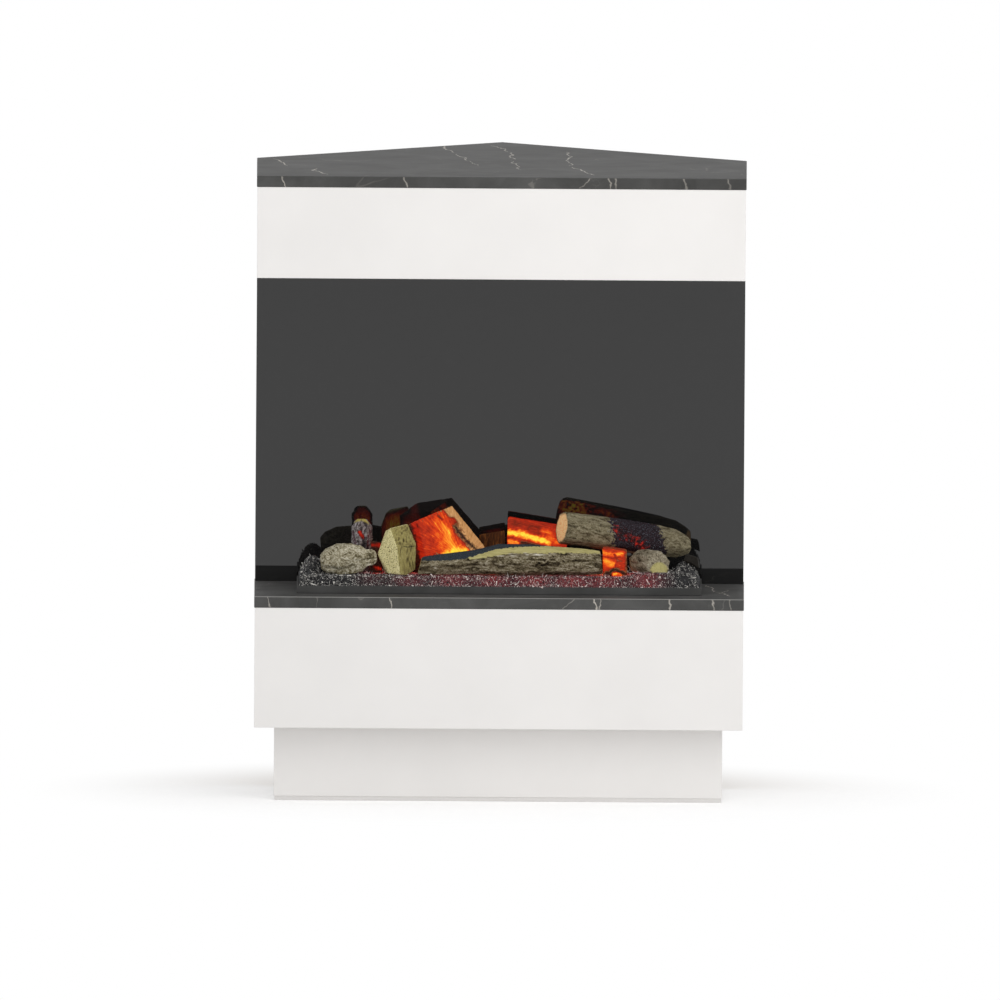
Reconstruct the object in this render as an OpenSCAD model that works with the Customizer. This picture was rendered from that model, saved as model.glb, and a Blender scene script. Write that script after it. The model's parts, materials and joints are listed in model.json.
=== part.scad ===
// Corner fireplace: a white cabinet for a 90 degree room corner, with two dark marble
// boards, a firebox open at the front and both sides, a black glass rear wall and an
// electric mist fire whose log bed lifts off.
// Millimetres. +X right, +Y towards the room corner, +Z up. The origin is on the floor,
// half way across and half way from the front edge to the corner.

/* [Cabinet] */
// Overall height, floor to the top of the upper marble board
cabinet_h = 1000; // [900:5:1200]
// Width of the two marble boards
slab_w = 778; // [740:2:900]
// Straight side of the boards, before they turn 45 degrees to the corner
side_d = 405; // [390:5:480]
// Thickness of a marble board
slab_t = 18; // [12:1:30]
// How far a marble board stands proud of the front and side boards under it
slab_over = 1; // [0:0.5:4]
// Chamfer on the marble boards' front and side edges
arris = 1; // [0.5:0.1:1]
// Thickness of the white boards
board_t = 18; // [15:1:22]
// Thickness of the boards that stand against the two walls
rear_t = 12; // [8:1:18]
// Height of the white band over the firebox
upper_h = 145; // [100:5:200]
// Height of the white box under the hearth
lower_h = 191; // [170:1:260]
// Edge of the assembly blocks in the inner corners
block = 25; // [18:1:30]

/* [Plinth] */
// Height of the plinth with its floor seal
plinth_h = 121; // [80:1:160]
// How far the plinth stands in from each side
plinth_in = 32; // [20:1:80]
// How far the plinth stands back from the front
plinth_back = 82; // [40:1:120]
// Gap left for a skirting board along each wall
skirting = 20; // [10:1:30]
// Height of the floor seal strip
seal_h = 6.6; // [4:0.2:10]
// How far the seal strip stands in from the plinth's face
seal_in = 1.2; // [0.5:0.1:3]

/* [Firebox] */
// How far the column's straight sides reach, from the rear glass to the 45 degree corner
column_d = 55; // [50:1:60]
// Thickness of the black rear glass
glass_t = 6; // [4:1:10]

/* [Fixings] */
// Diameter of the wall screw holes
screw_hole = 6; // [4:0.5:10]
// Height of the wall screw holes under the upper marble board
screw_drop = 60; // [40:5:80]
// Distance of the two holes on each wall, along the wall
screw_gap = 250; // [150:10:300]
// Bore of the cable gland
gland_bore = 8; // [6:0.5:10]

/* [Fire insert] */
// Width of the steel case that hangs in the hearth
case_w = 560; // [540:5:580]
// Depth of the steel case, front to back
case_d = 176; // [170:2:184]
// Height of the steel case below the hearth's top
case_h = 150; // [146:1:160]
// Sheet thickness of the case and its flange
sheet = 1.5; // [1:0.1:2]
// Width of the flange that the case hangs on
flange = 16; // [12:1:18]
// Gap round the case in the hearth's cut-out
cut_gap = 5; // [2:1:8]

/* [Log bed] */
// Width of the bed tray
tray_w = 643; // [630:1:660]
// Depth of the bed tray
tray_d = 220; // [216:1:235]
// Distance of the bed tray behind the front edge
tray_back = 80; // [70:1:95]
// Height of the bed tray's rim over the hearth
tray_rim = 12; // [10:1:16]
// Thickness of the tray's rim
rim_t = 2.5; // [1.5:0.5:4]
// Height of the ember bed over the hearth, where the logs lie
bed_h = 26; // [22:1:32]
// Height of the ember mounds at both ends, over the bed
mound_h = 24; // [10:1:30]

// Height of the rise of embers that the small end log lies on
rise_h = 7; // [3:1:12]
// Depth of the bark ridges
bark = 1.6; // [0.5:0.1:2.5]

/* [Running fits] */
// Radial clearance of pins, shafts and buttons
fit = 0.06; // [0.02:0.01:0.1]
// Clearance between pieces that are set beside each other
gap = 0.3; // [0.2:0.05:0.5]

/* [Hidden] */
eps = 0.01;
cut = 1;

white = [0.94, 0.93, 0.92];
marble = [0.17, 0.17, 0.18];
black = [0.04, 0.04, 0.045];
raw_board = [0.62, 0.53, 0.42];
steel = [0.55, 0.56, 0.57];
dark_steel = [0.2, 0.2, 0.2];
bark_brown = [0.42, 0.39, 0.32];
split_wood = [0.66, 0.61, 0.42];
char_black = [0.12, 0.11, 0.1];
glow_orange = [0.95, 0.45, 0.1];
ember_grey = [0.27, 0.27, 0.28];

// Plan of the cabinet. The two walls are the lines |x| + y = wall_c.
depth = side_d + slab_w / 2;
wall_c = depth / 2;
front_y = -depth / 2;
body_half = slab_w / 2 - slab_over;
body_front = front_y + slab_over;
inner_half = body_half - board_t;
inner_front = body_front + board_t;
inner_c = wall_c - rear_t * sqrt(2);

// Levels
lower_z = plinth_h;
hearth_z0 = lower_z + lower_h;
hearth_z = hearth_z0 + slab_t;
top_z0 = cabinet_h - slab_t;
upper_z = top_z0 - upper_h;

// Plinth
plinth_half = body_half - plinth_in;
plinth_front_y = body_front + plinth_back;
plinth_c = wall_c - skirting * sqrt(2);

// Column behind the glass
glass_y = front_y + side_d - column_d;
backer_y = glass_y + glass_t;
post = 30;

// Insert
tray_y = front_y + tray_back;
fire_y = tray_y + tray_d / 2;
case_z = hearth_z - case_h;
case_floor = case_z + sheet;
flange_z = hearth_z + sheet;

// Log bed. The logs and the mounds are laid out on a 643 mm tray and grow with it.
bed_k = tray_w / 643;
tray_z0 = hearth_z + gap;
tray_floor = flange_z + sheet;
rim_z = hearth_z + tray_rim;
bed_z = hearth_z + bed_h;

// ---------------------------------------------------------------- plan outlines

// Five-sided corner plan: straight sides at +-half from y0, then 45 degrees to |x| + y = c
function corner_plan(half, y0, c) =
    [[-half, y0], [half, y0], [half, c - half], [0, c], [-half, c - half]];

// A board between two heights on a plan outline
module board(outline, z0, z1) {
    translate([0, 0, z0])
        linear_extrude(z1 - z0)
            polygon(outline);
}

// Cuts a chamfer of size a along a straight edge: from a point, len long, at an angle in plan
module arris_cut(from, len, angle, z, a) {
    edge = a * sqrt(2);
    past = 4 * a;
    translate([from[0], from[1], z])
        rotate([0, 0, angle])
            rotate([45, 0, 0])
                translate([-past, -edge / 2, -edge / 2])
                    cube([len + 2 * past, edge, edge]);
}

// Marble board with chamfered front edges and finer chamfers at the sides
module marble_board(z0, z1) {
    half = slab_w / 2;
    difference() {
        board(corner_plan(half, front_y, wall_c), z0, z1);
        for (z = [z0, z1]) {
            arris_cut([-half, front_y], slab_w, 0, z, arris);
            for (x = [-half, half])
                arris_cut([x, front_y], side_d, 90, z, 0.6 * arris);
        }
    }
}

// Right-hand wall board: its outer face on |x| + y = c, its end flush with the side
module wall_board(half, c, z0, z1, t) {
    in = c - t * sqrt(2);
    board([[0, c], [0, in], [half, in - half], [half, c - half]], z0, z1);
}

// Right-hand side board, cut at 45 degrees where it meets the wall board
module side_board(half, y0, c, t, z0, z1) {
    board([[half - t, y0], [half, y0], [half, c - half], [half - t, c - half + t]], z0, z1);
}

module flip() {
    mirror([1, 0, 0])
        children();
}

// Square block with its corner on the inner side and front boards, for both sides
module corner_blocks(half, y0, c, z) {
    for (side = [-1, 1]) {
        translate([side > 0 ? half - block : -half, y0, z])
            cube(block);
        translate([side > 0 ? half - block : -half, c - half - block, z])
            cube(block);
    }
    translate([0, c, z])
        rotate([0, 0, 225])
            cube(block);
}

// ---------------------------------------------------------------- plinth

module plinth_seal() {
    half = plinth_half - seal_in;
    y0 = plinth_front_y + seal_in;
    color([0.8, 0.8, 0.79])
        difference() {
            board(corner_plan(half, y0, plinth_c), 0, seal_h);
            board(corner_plan(half - board_t, y0 + board_t, plinth_c - rear_t * sqrt(2)),
                -cut, seal_h + cut);
        }
}

module plinth_front() {
    color(white)
        board([[-plinth_half, plinth_front_y], [plinth_half, plinth_front_y],
            [plinth_half, plinth_front_y + board_t], [-plinth_half, plinth_front_y + board_t]],
            seal_h, plinth_h);
}

module plinth_side() {
    color(white)
        side_board(plinth_half, plinth_front_y + board_t, plinth_c - rear_t * sqrt(2), board_t,
            seal_h, plinth_h);
}

module plinth_right() {
    plinth_side();
}

module plinth_left() {
    flip()
        plinth_side();
}

module plinth_rear_right() {
    color(raw_board)
        wall_board(plinth_half, plinth_c, seal_h, plinth_h, rear_t);
}

module plinth_rear_left() {
    color(raw_board)
        flip()
            wall_board(plinth_half, plinth_c, seal_h, plinth_h, rear_t);
}

module plinth_blocks() {
    color(black)
        corner_blocks(plinth_half - board_t, plinth_front_y + board_t,
            plinth_c - rear_t * sqrt(2), plinth_h - block);
}

// ---------------------------------------------------------------- lower box

// Floor board inside the four upright boards
module box_floor(z0) {
    board(corner_plan(inner_half, inner_front, inner_c), z0, z0 + board_t);
}

module box_front(z0, z1) {
    board([[-body_half, body_front], [body_half, body_front],
        [body_half, inner_front], [-body_half, inner_front]], z0, z1);
}

module box_side(z0, z1) {
    side_board(body_half, inner_front, inner_c, board_t, z0, z1);
}

module box_rear(z0, z1) {
    wall_board(body_half, wall_c, z0, z1, rear_t);
}

module lower_floor() {
    color(white)
        box_floor(lower_z);
}

module lower_front() {
    color(white)
        box_front(lower_z, hearth_z0);
}

module lower_right() {
    color(white)
        box_side(lower_z, hearth_z0);
}

module lower_left() {
    color(white)
        flip()
            box_side(lower_z, hearth_z0);
}

// Middle of the right wall board's outer face, in plan
rear_mid = body_half / 2;
gland_z = lower_z + 70;
gland_r = gland_bore / 2 + 4;

// A cylinder across the right wall board, its axis square to the wall
module across_wall(r, along, z, t0, t1) {
    translate([rear_mid, wall_c - rear_mid, z])
        rotate([0, 0, -45])
            translate([along, 0, 0])
                rotate([90, 0, 0])
                    translate([0, 0, -t1])
                        cylinder(r = r, h = t1 - t0, $fn = 48);
}

module lower_rear_right() {
    color(raw_board)
        box_rear(lower_z, hearth_z0);
}

module lower_rear_left() {
    color(raw_board)
        flip()
            difference() {
                box_rear(lower_z, hearth_z0);
                across_wall(gland_r + fit, 0, gland_z, -rear_t - cut, cut);
            }
}

// Plastic bush in the left wall board, flanged inside, that the mains lead leaves through
module cable_gland() {
    color(black)
        flip()
            difference() {
                union() {
                    across_wall(gland_r, 0, gland_z, -rear_t - 3, 0);
                    across_wall(gland_r + 4, 0, gland_z, -rear_t - 3, -rear_t);
                }
                across_wall(gland_bore / 2, 0, gland_z, -rear_t - 3 - cut, cut);
            }
}

module lower_blocks() {
    color(black) {
        corner_blocks(inner_half, inner_front, inner_c, lower_z + board_t);
        corner_blocks(inner_half, inner_front, inner_c, hearth_z0 - block);
    }
}

module hearth_slab() {
    w = case_w + 2 * cut_gap;
    d = case_d + 2 * cut_gap;
    color(marble)
        difference() {
            marble_board(hearth_z0, hearth_z);
            translate([-w / 2, fire_y - d / 2, hearth_z0 - cut])
                cube([w, d, slab_t + 2 * cut]);
        }
}

// ---------------------------------------------------------------- column

module column_side() {
    side_board(body_half, backer_y, inner_c, board_t, hearth_z, upper_z);
}

module column_right() {
    color(black)
        column_side();
}

module column_left() {
    color(black)
        flip()
            column_side();
}

module glass_backer() {
    color(raw_board)
        translate([-inner_half, backer_y, hearth_z])
            cube([2 * inner_half, board_t, upper_z - hearth_z]);
}

module back_glass() {
    color(black)
        translate([-body_half, glass_y, hearth_z])
            cube([2 * body_half, glass_t, upper_z - hearth_z]);
}

module column_rear_right() {
    color(raw_board)
        box_rear(hearth_z, upper_z);
}

module column_rear_left() {
    color(raw_board)
        flip()
            box_rear(hearth_z, upper_z);
}

// Square batten in the rear corner, between the hearth and the upper box
module corner_post() {
    color(raw_board)
        translate([0, inner_c, hearth_z])
            rotate([0, 0, 225])
                cube([post, post, upper_z - hearth_z]);
}

// ---------------------------------------------------------------- upper box

module upper_floor() {
    color(white)
        box_floor(upper_z);
}

module upper_front() {
    color(white)
        box_front(upper_z, top_z0);
}

module upper_right() {
    color(white)
        box_side(upper_z, top_z0);
}

module upper_left() {
    color(white)
        flip()
            box_side(upper_z, top_z0);
}

module drilled_rear() {
    difference() {
        box_rear(upper_z, top_z0);
        for (along = [-screw_gap / 2, screw_gap / 2])
            across_wall(screw_hole / 2, along, top_z0 - screw_drop, -rear_t - cut, cut);
    }
}

module upper_rear_right() {
    color(raw_board)
        drilled_rear();
}

module upper_rear_left() {
    color(raw_board)
        flip()
            drilled_rear();
}

module upper_blocks() {
    color(black) {
        corner_blocks(inner_half, inner_front, inner_c, upper_z + board_t);
        corner_blocks(inner_half, inner_front, inner_c, top_z0 - block);
    }
}

module top_slab() {
    color(marble)
        marble_board(top_z0, cabinet_h);
}

// ---------------------------------------------------------------- mist fire insert

// A box centred on the fire in plan: x and y are its middle, z its underside
module fire_box(x, y, z, size) {
    translate([x - size[0] / 2, fire_y + y - size[1] / 2, z])
        cube(size);
}

module chassis() {
    color(steel)
        difference() {
            union() {
                fire_box(0, 0, case_z, [case_w, case_d, case_h]);
                fire_box(0, 0, hearth_z, [case_w + 2 * flange, case_d + 2 * flange, sheet]);
            }
            fire_box(0, 0, case_floor, [case_w - 2 * sheet, case_d - 2 * sheet, case_h + cut]);
        }
}

// Water bowl under the mist outlet
sump_w = 160;
sump_d = 130;
sump_h = 45;
sump_wall = 2.5;
lid_z = case_floor + sump_h;
lid_t = 2;
duct_w = 116;
duct_d = 50;
duct_top = hearth_z - 2;
fan_w = 60;
fan_t = 20;
fan_r = 27;
fan_z = lid_z + lid_t + fan_w / 2;
fan_x = -duct_w / 2 - fan_t / 2;
shaft_r = 2;

module sump() {
    color(black)
        difference() {
            fire_box(0, 0, case_floor, [sump_w, sump_d, sump_h]);
            fire_box(0, 0, case_floor + sump_wall,
                [sump_w - 2 * sump_wall, sump_d - 2 * sump_wall, sump_h]);
            translate([sump_w / 2 - sump_wall - cut, fire_y, feed_z])
                rotate([0, 90, 0])
                    cylinder(r = feed_r + fit, h = sump_wall + 2 * cut, $fn = 48);
        }
}

// Three ultrasonic discs on one plate at the bottom of the bowl
module transducer_unit() {
    z = case_floor + sump_wall;
    color([0.75, 0.75, 0.76]) {
        fire_box(0, 0, z, [110, 44, 6]);
        for (x = [-36, 0, 36])
            translate([x, fire_y, z + 6])
                difference() {
                    cylinder(r = 14, h = 5, $fn = 48);
                    translate([0, 0, 2])
                        cylinder(r = 10, h = 5, $fn = 48);
                }
    }
}

// Lid of the bowl with the upright mist duct
module mist_nozzle() {
    inner = [duct_w - 2 * lid_t, duct_d - 2 * lid_t];
    color(black)
        difference() {
            union() {
                fire_box(0, 0, lid_z, [sump_w, sump_d, lid_t]);
                fire_box(0, 0, lid_z, [duct_w, duct_d, duct_top - lid_z]);
            }
            fire_box(0, 0, lid_z - cut, [inner[0], inner[1], case_h]);
            translate([-duct_w / 2 - cut, fire_y, fan_z])
                rotate([0, 90, 0])
                    cylinder(r = 20, h = lid_t + 2 * cut, $fn = 48);
        }
}

feed_r = 6;
feed_z = case_floor + sump_wall + feed_r + 4;
tank_w = 156;
tank_d = 156;
tank_room = 10.5;
tank_x = case_w / 2 - sheet - tank_room - tank_w / 2;
tank_h = 92;
tank_z = case_floor + gap;
neck_r = 18;
neck_h = 12;

// Tube from the tank's seat to the bowl
module feed_tube() {
    x0 = sump_w / 2 - sump_wall;
    len = tank_x - tank_w / 2 - gap - x0;
    color(black)
        translate([x0, fire_y, feed_z])
            rotate([0, 90, 0])
                difference() {
                    cylinder(r = feed_r, h = len, $fn = 48);
                    translate([0, 0, -cut])
                        cylinder(r = feed_r - 1.5, h = len + 2 * cut, $fn = 48);
                }
}

// Square fan frame with its spindle, set against the duct
module fan_housing() {
    color(black)
        translate([fan_x, fire_y, fan_z])
            rotate([0, 90, 0]) {
                difference() {
                    translate([-fan_w / 2, -fan_w / 2, -fan_t / 2])
                        cube([fan_w, fan_w, fan_t]);
                    cylinder(r = fan_r, h = fan_t + 2 * cut, center = true, $fn = 96);
                }
                translate([0, 0, -fan_t / 2])
                    for (a = [0, 90])
                        rotate([0, 0, a + 45])
                            translate([-fan_r - 2, -2, 0])
                                cube([2 * fan_r + 4, 4, 2]);
                translate([0, 0, -fan_t / 2])
                    cylinder(r = 10, h = 3, $fn = 48);
                translate([0, 0, -fan_t / 2])
                    cylinder(r = shaft_r, h = fan_t - 3, $fn = 48);
            }
}

// Hub and seven pitched blades on the fan's spindle
module fan_rotor() {
    blades = 7;
    hub_h = 13;
    tip_r = fan_r - 1.5;
    color([0.25, 0.25, 0.26])
        translate([fan_x, fire_y, fan_z])
            rotate([0, 90, 0])
                translate([0, 0, -fan_t / 2 + 3.5])
                    difference() {
                        union() {
                            cylinder(r = 9.5, h = hub_h, $fn = 48);
                            for (i = [0 : blades - 1])
                                rotate([0, 0, i * 360 / blades])
                                    translate([tip_r / 2 + 4, 0, hub_h / 2])
                                        rotate([35, 0, 0])
                                            cube([tip_r - 9, 13, 1.2], center = true);
                        }
                        translate([0, 0, -cut])
                            cylinder(r = shaft_r + fit, h = hub_h + 2 * cut, $fn = 48);
                    }
}

lamp_count = 5;
lamp_r = 9;
lamp_x0 = -case_w / 4;
lamp_x1 = case_w / 6;
lamp_drop = 38;
lamp_z = hearth_z - lamp_drop;
bar_t = 2;
bar_d = 26;
bar_h = 22;

// Angle along the case's front wall that carries the lamps
module lamp_bar() {
    y0 = -case_d / 2 + sheet;
    len = lamp_x1 - lamp_x0;
    x = (lamp_x0 + lamp_x1) / 2;
    color(steel) {
        fire_box(x, y0 + bar_t / 2, lamp_z, [len, bar_t, bar_h]);
        fire_box(x, y0 + bar_d / 2, lamp_z, [len, bar_d, bar_t]);
    }
}

module lamps() {
    y = -case_d / 2 + sheet + bar_d - lamp_r - bar_t;
    step = (lamp_x1 - lamp_x0) / lamp_count;
    color([0.95, 0.85, 0.6])
        for (i = [0 : lamp_count - 1])
            translate([lamp_x0 + (i + 0.5) * step, fire_y + y, lamp_z + bar_t]) {
                cylinder(r = lamp_r, h = 6, $fn = 48);
                translate([0, 0, 6])
                    cylinder(r1 = lamp_r, r2 = 5, h = 8, $fn = 48);
            }
}

// Filled water tank with the neck that its cap closes
module water_tank() {
    color([0.5, 0.55, 0.58])
        translate([0, 0, tank_z]) {
            translate([tank_x, fire_y, 0])
                tank_shell(tank_w, tank_d, tank_h, 14);
            translate([tank_x, fire_y, tank_h])
                cylinder(r = neck_r, h = neck_h, $fn = 64);
        }
}

// Upright block with rounded vertical edges
module tank_shell(w, d, h, r) {
    linear_extrude(h)
        union() {
            square([w - 2 * r, d], center = true);
            square([w, d - 2 * r], center = true);
            for (x = [-1, 1], y = [-1, 1])
                translate([x * (w / 2 - r), y * (d / 2 - r)])
                    circle(r = r, $fn = 48);
        }
}

// Quarter-turn cap over the neck, with a grip bar
module tank_cap() {
    cap_h = neck_h + 3;
    color([0.15, 0.3, 0.5])
        translate([tank_x, fire_y, tank_z + tank_h + gap]) {
            difference() {
                cylinder(r = neck_r + 4, h = cap_h, $fn = 64);
                translate([0, 0, -cut])
                    cylinder(r = neck_r + fit, h = neck_h + cut, $fn = 64);
            }
            translate([-neck_r, -2.5, cap_h - eps])
                cube([2 * neck_r, 5, 5]);
        }
}

box_w = 96;
box_d = 150;
box_room = 8.5;
box_x = box_w / 2 + box_room + sheet - case_w / 2;
box_top = hearth_z - 12;
rocker_y = -40;
pivot_z = box_top - 2;
rocker_l = 20;
rocker_w = 12;
rocker_tilt = 7;
pin_r = 1.5;
button_r = 5;
button_h = 12;
button_travel = 2;
button_rise = 3;

// Control housing: a pocket for the rocker and two guided button bores in its top
module control_box() {
    color(dark_steel)
        difference() {
            fire_box(box_x, 0, case_floor, [box_w, box_d, box_top - case_floor]);
            fire_box(box_x, rocker_y, pivot_z - 7, [rocker_l + 3, rocker_w + 2 * gap, 12]);
            translate([box_x, fire_y + rocker_y + rocker_w / 2 + 3, pivot_z])
                rotate([90, 0, 0])
                    cylinder(r = pin_r + fit, h = rocker_w + 6, $fn = 48);
            for (y = [10, 40])
                translate([box_x, fire_y + y, box_top + button_rise - button_h - button_travel - 1])
                    cylinder(r = button_r + fit, h = 2 * button_h, $fn = 48);
        }
}

// Two-way mains rocker on its pins, tilted to off
module power_rocker() {
    half = rocker_l / 2;
    color([0.7, 0.1, 0.08])
        translate([box_x, fire_y + rocker_y, pivot_z])
            rotate([90, 0, 0]) {
                rotate([0, 0, rocker_tilt])
                    linear_extrude(rocker_w, center = true)
                        polygon([[-half, -3], [half, -3], [half, 3.4], [half - 1, 4], [0, 2.4],
                            [1 - half, 4], [-half, 3.4]]);
                cylinder(r = pin_r, h = rocker_w + 5, center = true, $fn = 48);
            }
}

// Round push button, domed by a chamfer
module button(y) {
    color([0.85, 0.85, 0.85])
        translate([box_x, fire_y + y, box_top + button_rise - button_h]) {
            cylinder(r = button_r, h = button_h - 1, $fn = 48);
            translate([0, 0, button_h - 1])
                cylinder(r1 = button_r, r2 = button_r - 1, h = 1, $fn = 48);
        }
}

module button_up() {
    button(10);
}

module button_down() {
    button(40);
}

// ---------------------------------------------------------------- log bed

// Shallow steel tray with a standing rim; slots let the mist and the light through
module bed_tray() {
    color(dark_steel)
        difference() {
            fire_box(0, 0, tray_z0, [tray_w, tray_d, rim_z - tray_z0]);
            fire_box(0, 0, tray_floor,
                [tray_w - 2 * rim_t, tray_d - 2 * rim_t, rim_z]);
            fire_box(0, 0, tray_z0 - cut,
                [tray_w - 2 * rim_t, tray_d - 2 * rim_t, flange_z - tray_z0 + cut]);
            fire_box(0, 0, tray_z0, [duct_w, duct_d - 20, tray_rim]);
            for (x = [-90, 40])
                fire_box(x, -64, tray_z0, [90, 24, tray_rim]);
        }
}

function smooth(t) = let (u = min(1, max(0, t))) u * u * (3 - 2 * u);

// Fixed pseudo-random value from 0 to 1
function grit(i, j) = let (v = sin(i * 127.1 + j * 311.7) * 4375.85) v - floor(v);

// Height of the ember bed at x, and at d behind the tray's front edge
function bed_top(x, d, i, j) =
    let (
        u = x / bed_k,
        v = d / bed_k,
        edge = min(d, tray_d - d, tray_w / 2 - abs(x)) / bed_k,
        ramp = rim_z + (bed_z - rim_z) * smooth((edge - 3) / 20),
        left = smooth((-262 - u) / 34) * smooth(1 - abs(v - 128) / 72),
        right = smooth((u - 262) / 34) * smooth(1 - abs(v - 80) / 50),
        mound = mound_h * (left + right) * smooth((edge + 14) / 30),
        rise = rise_h * smooth((u - 207) / 14) * smooth((v - 4) / 14) * smooth((118 - v) / 16),
        heap = max(mound, rise)
    )
    ramp + heap - bed_k * 2.6 * grit(i, j) * (heap > 1 ? 1.4 : 1);

bed_cols = 52;
bed_rows = 17;

// Gravel bed: a grid of heights over a flat underside
module ember_bed() {
    w = tray_w - 2 * rim_t - 2 * gap;
    d = tray_d - 2 * rim_t - 2 * gap;
    top = [
        for (j = [0 : bed_rows], i = [0 : bed_cols])
            let (x = -w / 2 + w * i / bed_cols, y = d * j / bed_rows)
            [x, tray_y + rim_t + gap + y, bed_top(x, y + rim_t, i, j)]
    ];
    n = len(top);
    side = bed_cols + 1;
    rim = concat(
        [for (i = [0 : bed_cols - 1]) i],
        [for (j = [0 : bed_rows - 1]) bed_cols + j * side],
        [for (i = [0 : bed_cols - 1]) bed_rows * side + bed_cols - i],
        [for (j = [0 : bed_rows - 1]) (bed_rows - j) * side]
    );
    count = len(rim);
    low = [for (k = rim) [top[k][0], top[k][1], tray_floor]];
    middle = [0, fire_y, tray_floor];
    upper_faces = [
        for (j = [0 : bed_rows - 1], i = [0 : bed_cols - 1], half = [0, 1])
            let (a = j * side + i)
            half == 0 ? [a, a + side + 1, a + 1] : [a, a + side, a + side + 1]
    ];
    wall_faces = [
        for (k = [0 : count - 1], half = [0, 1])
            let (next = (k + 1) % count)
            half == 0 ? [rim[k], rim[next], n + next] : [rim[k], n + next, n + k]
    ];
    base_faces = [for (k = [0 : count - 1]) [n + k, n + (k + 1) % count, n + count]];
    color(ember_grey)
        polyhedron(concat(top, low, [middle]), concat(upper_faces, wall_faces, base_faces));
}

// Bark ridges, from -1 to 1, round the log at angle a and at share s of its length
function ridge(a, s, seed) =
    0.5 * sin(6 * a + 77 * seed + 150 * s)
    + 0.3 * sin(11 * a - 45 * seed - 210 * s)
    + 0.2 * sin(3 * a + 400 * s + 19 * seed);

// Radius at angle a after the flat split faces, each given as [angle, distance]
function split_r(a, r, splits, i = 0) =
    i == len(splits) ? r
    : let (c = cos(a - splits[i][0]))
    split_r(a, c > 0.05 ? min(r, splits[i][1] / c) : r, splits, i + 1);

// Radius after the flat seat that lies seat below the log's axis
function seat_r(a, r, seat) = sin(a) < -0.05 ? min(r, seat / -sin(a)) : r;

// A log along +X. girth is a list of [share of length, radius], splits are flat faces,
// seat is how far below the axis it is cut flat, lean slants its two ends and bow is a list
// of [share of length, how far its middle lies over the axis].
module log_form(length, girth, splits = [], seat = 999, ridge_h = bark, seed = 1,
        lean = [0, 0], bow = [[0, 0]]) {
    sides = 28;
    rings = 11;
    pts = [
        for (i = [0 : rings], k = [0 : sides - 1])
            let (
                s = i / rings,
                a = 360 * k / sides,
                raw = lookup(s, girth) + ridge_h * ridge(a, s, seed),
                rise = lookup(s, bow),
                r = seat_r(a, split_r(a, raw, splits), seat + rise),
                z = r * sin(a) + rise
            )
            [s * length + z * (lean[0] * (1 - s) + lean[1] * s), r * cos(a), z]
    ];
    wall = [
        for (i = [0 : rings - 1], k = [0 : sides - 1], half = [0, 1])
            let (a = i * sides + k, b = i * sides + (k + 1) % sides)
            half == 0 ? [a, b, b + sides] : [a, b + sides, a + sides]
    ];
    ends = [
        [for (k = [0 : sides - 1]) sides - 1 - k],
        [for (k = [0 : sides - 1]) rings * sides + k]
    ];
    polyhedron(pts, concat(wall, ends));
}

// Places a log: its start at x, d behind the tray's front edge and z over the ember bed
module lay(x, d, z, yaw = 0, dip = 0) {
    translate([0, tray_y, bed_z])
        scale(bed_k)
            translate([x, d, z])
                rotate([0, dip, yaw])
                    children();
}

// A split block: the hull of small rounded corners, each [x, d behind the tray's front
// edge, z over the ember bed]. settle is how far it lies down into a dip of the bed.
module split_block(corners, r = 2, settle = 0) {
    translate([0, tray_y, bed_z])
        scale(bed_k)
            hull()
                for (c = corners)
                    translate([c[0], c[1], max(r, c[2]) - settle])
                        sphere(r = r, $fn = 16);
}

// Long half log across the front, split along its top
module front_log() {
    color(bark_brown)
        lay(-124, 48, 25, 1)
            log_form(286, [[0, 15], [0.1, 17.5], [0.29, 20.5], [0.42, 26.5], [0.6, 26], [0.75, 23],
                    [0.9, 21.5], [1, 18.5]],
                [[98, 26], [132, 22.5]], 25, bark, 1, [0.25, -0.12],
                [[0, -9], [0.15, -6], [0.3, -3], [0.42, 0], [0.7, 0], [1, -3]]);
}

// Round log, sawn at its left end, that falls away to the rear right
module right_log() {
    color(bark_brown)
        lay(99, 104, 74, 21, 8.4)
            log_form(218, [[0, 26.5], [0.45, 26], [0.75, 25], [0.9, 22], [1, 13]],
                [], 999, bark * 0.8, 2, [0, -0.2]);
}

// Big split log behind the front one, its glowing split face turned to the front right
module glow_log() {
    color(glow_orange)
        split_block([[-131, 74, 85], [-77, 180, 101], [-26, 150, 41], [-12, 126, 0], [-113, 76, 0],
            [-158, 112, 68], [-108, 212, 82], [-152, 120, 0], [-40, 208, 0]]);
}

// Split log against the rear, with a glowing front face
module centre_log() {
    color(glow_orange)
        split_block([[14, 194, 82], [106, 202, 68], [12, 172, 0], [104, 182, 0],
            [16, 211, 82], [108, 213, 68], [14, 215, 0], [106, 215, 0]]);
}

// Dark split log on end in the gap behind the middle
module rear_log() {
    color(char_black)
        split_block([[-21, 177, 0], [7, 175, 0], [-29, 206, 0], [7, 208, 0],
            [-31, 185, 55], [7, 181, 62], [-31, 204, 50], [6, 206, 56]]);
}

// Pale split block that stands at the left
module pale_block() {
    color(split_wood)
        split_block([[-173, 58, 73], [-162, 39, 44], [-157, 36, 3], [-192, 62, 33], [-180, 72, 68],
            [-176, 48, 4], [-147, 70, 79], [-134, 63, 49], [-135, 54, 10],
            [-149, 41, 2], [-180, 78, 0], [-170, 81, 66], [-146, 79, 60], [-142, 80, 0]]);
}

// Knotty bark lump at the left
module bark_nugget() {
    color(bark_brown)
        lay(-284, 69, 19.6, 0, -5)
            log_form(90, [[0, 12], [0.1, 20], [0.3, 26.5], [0.55, 26.5], [0.72, 22], [0.82, 14],
                    [0.92, 13], [1, 8]],
                [], 22, bark * 1.5, 5);
}

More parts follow.
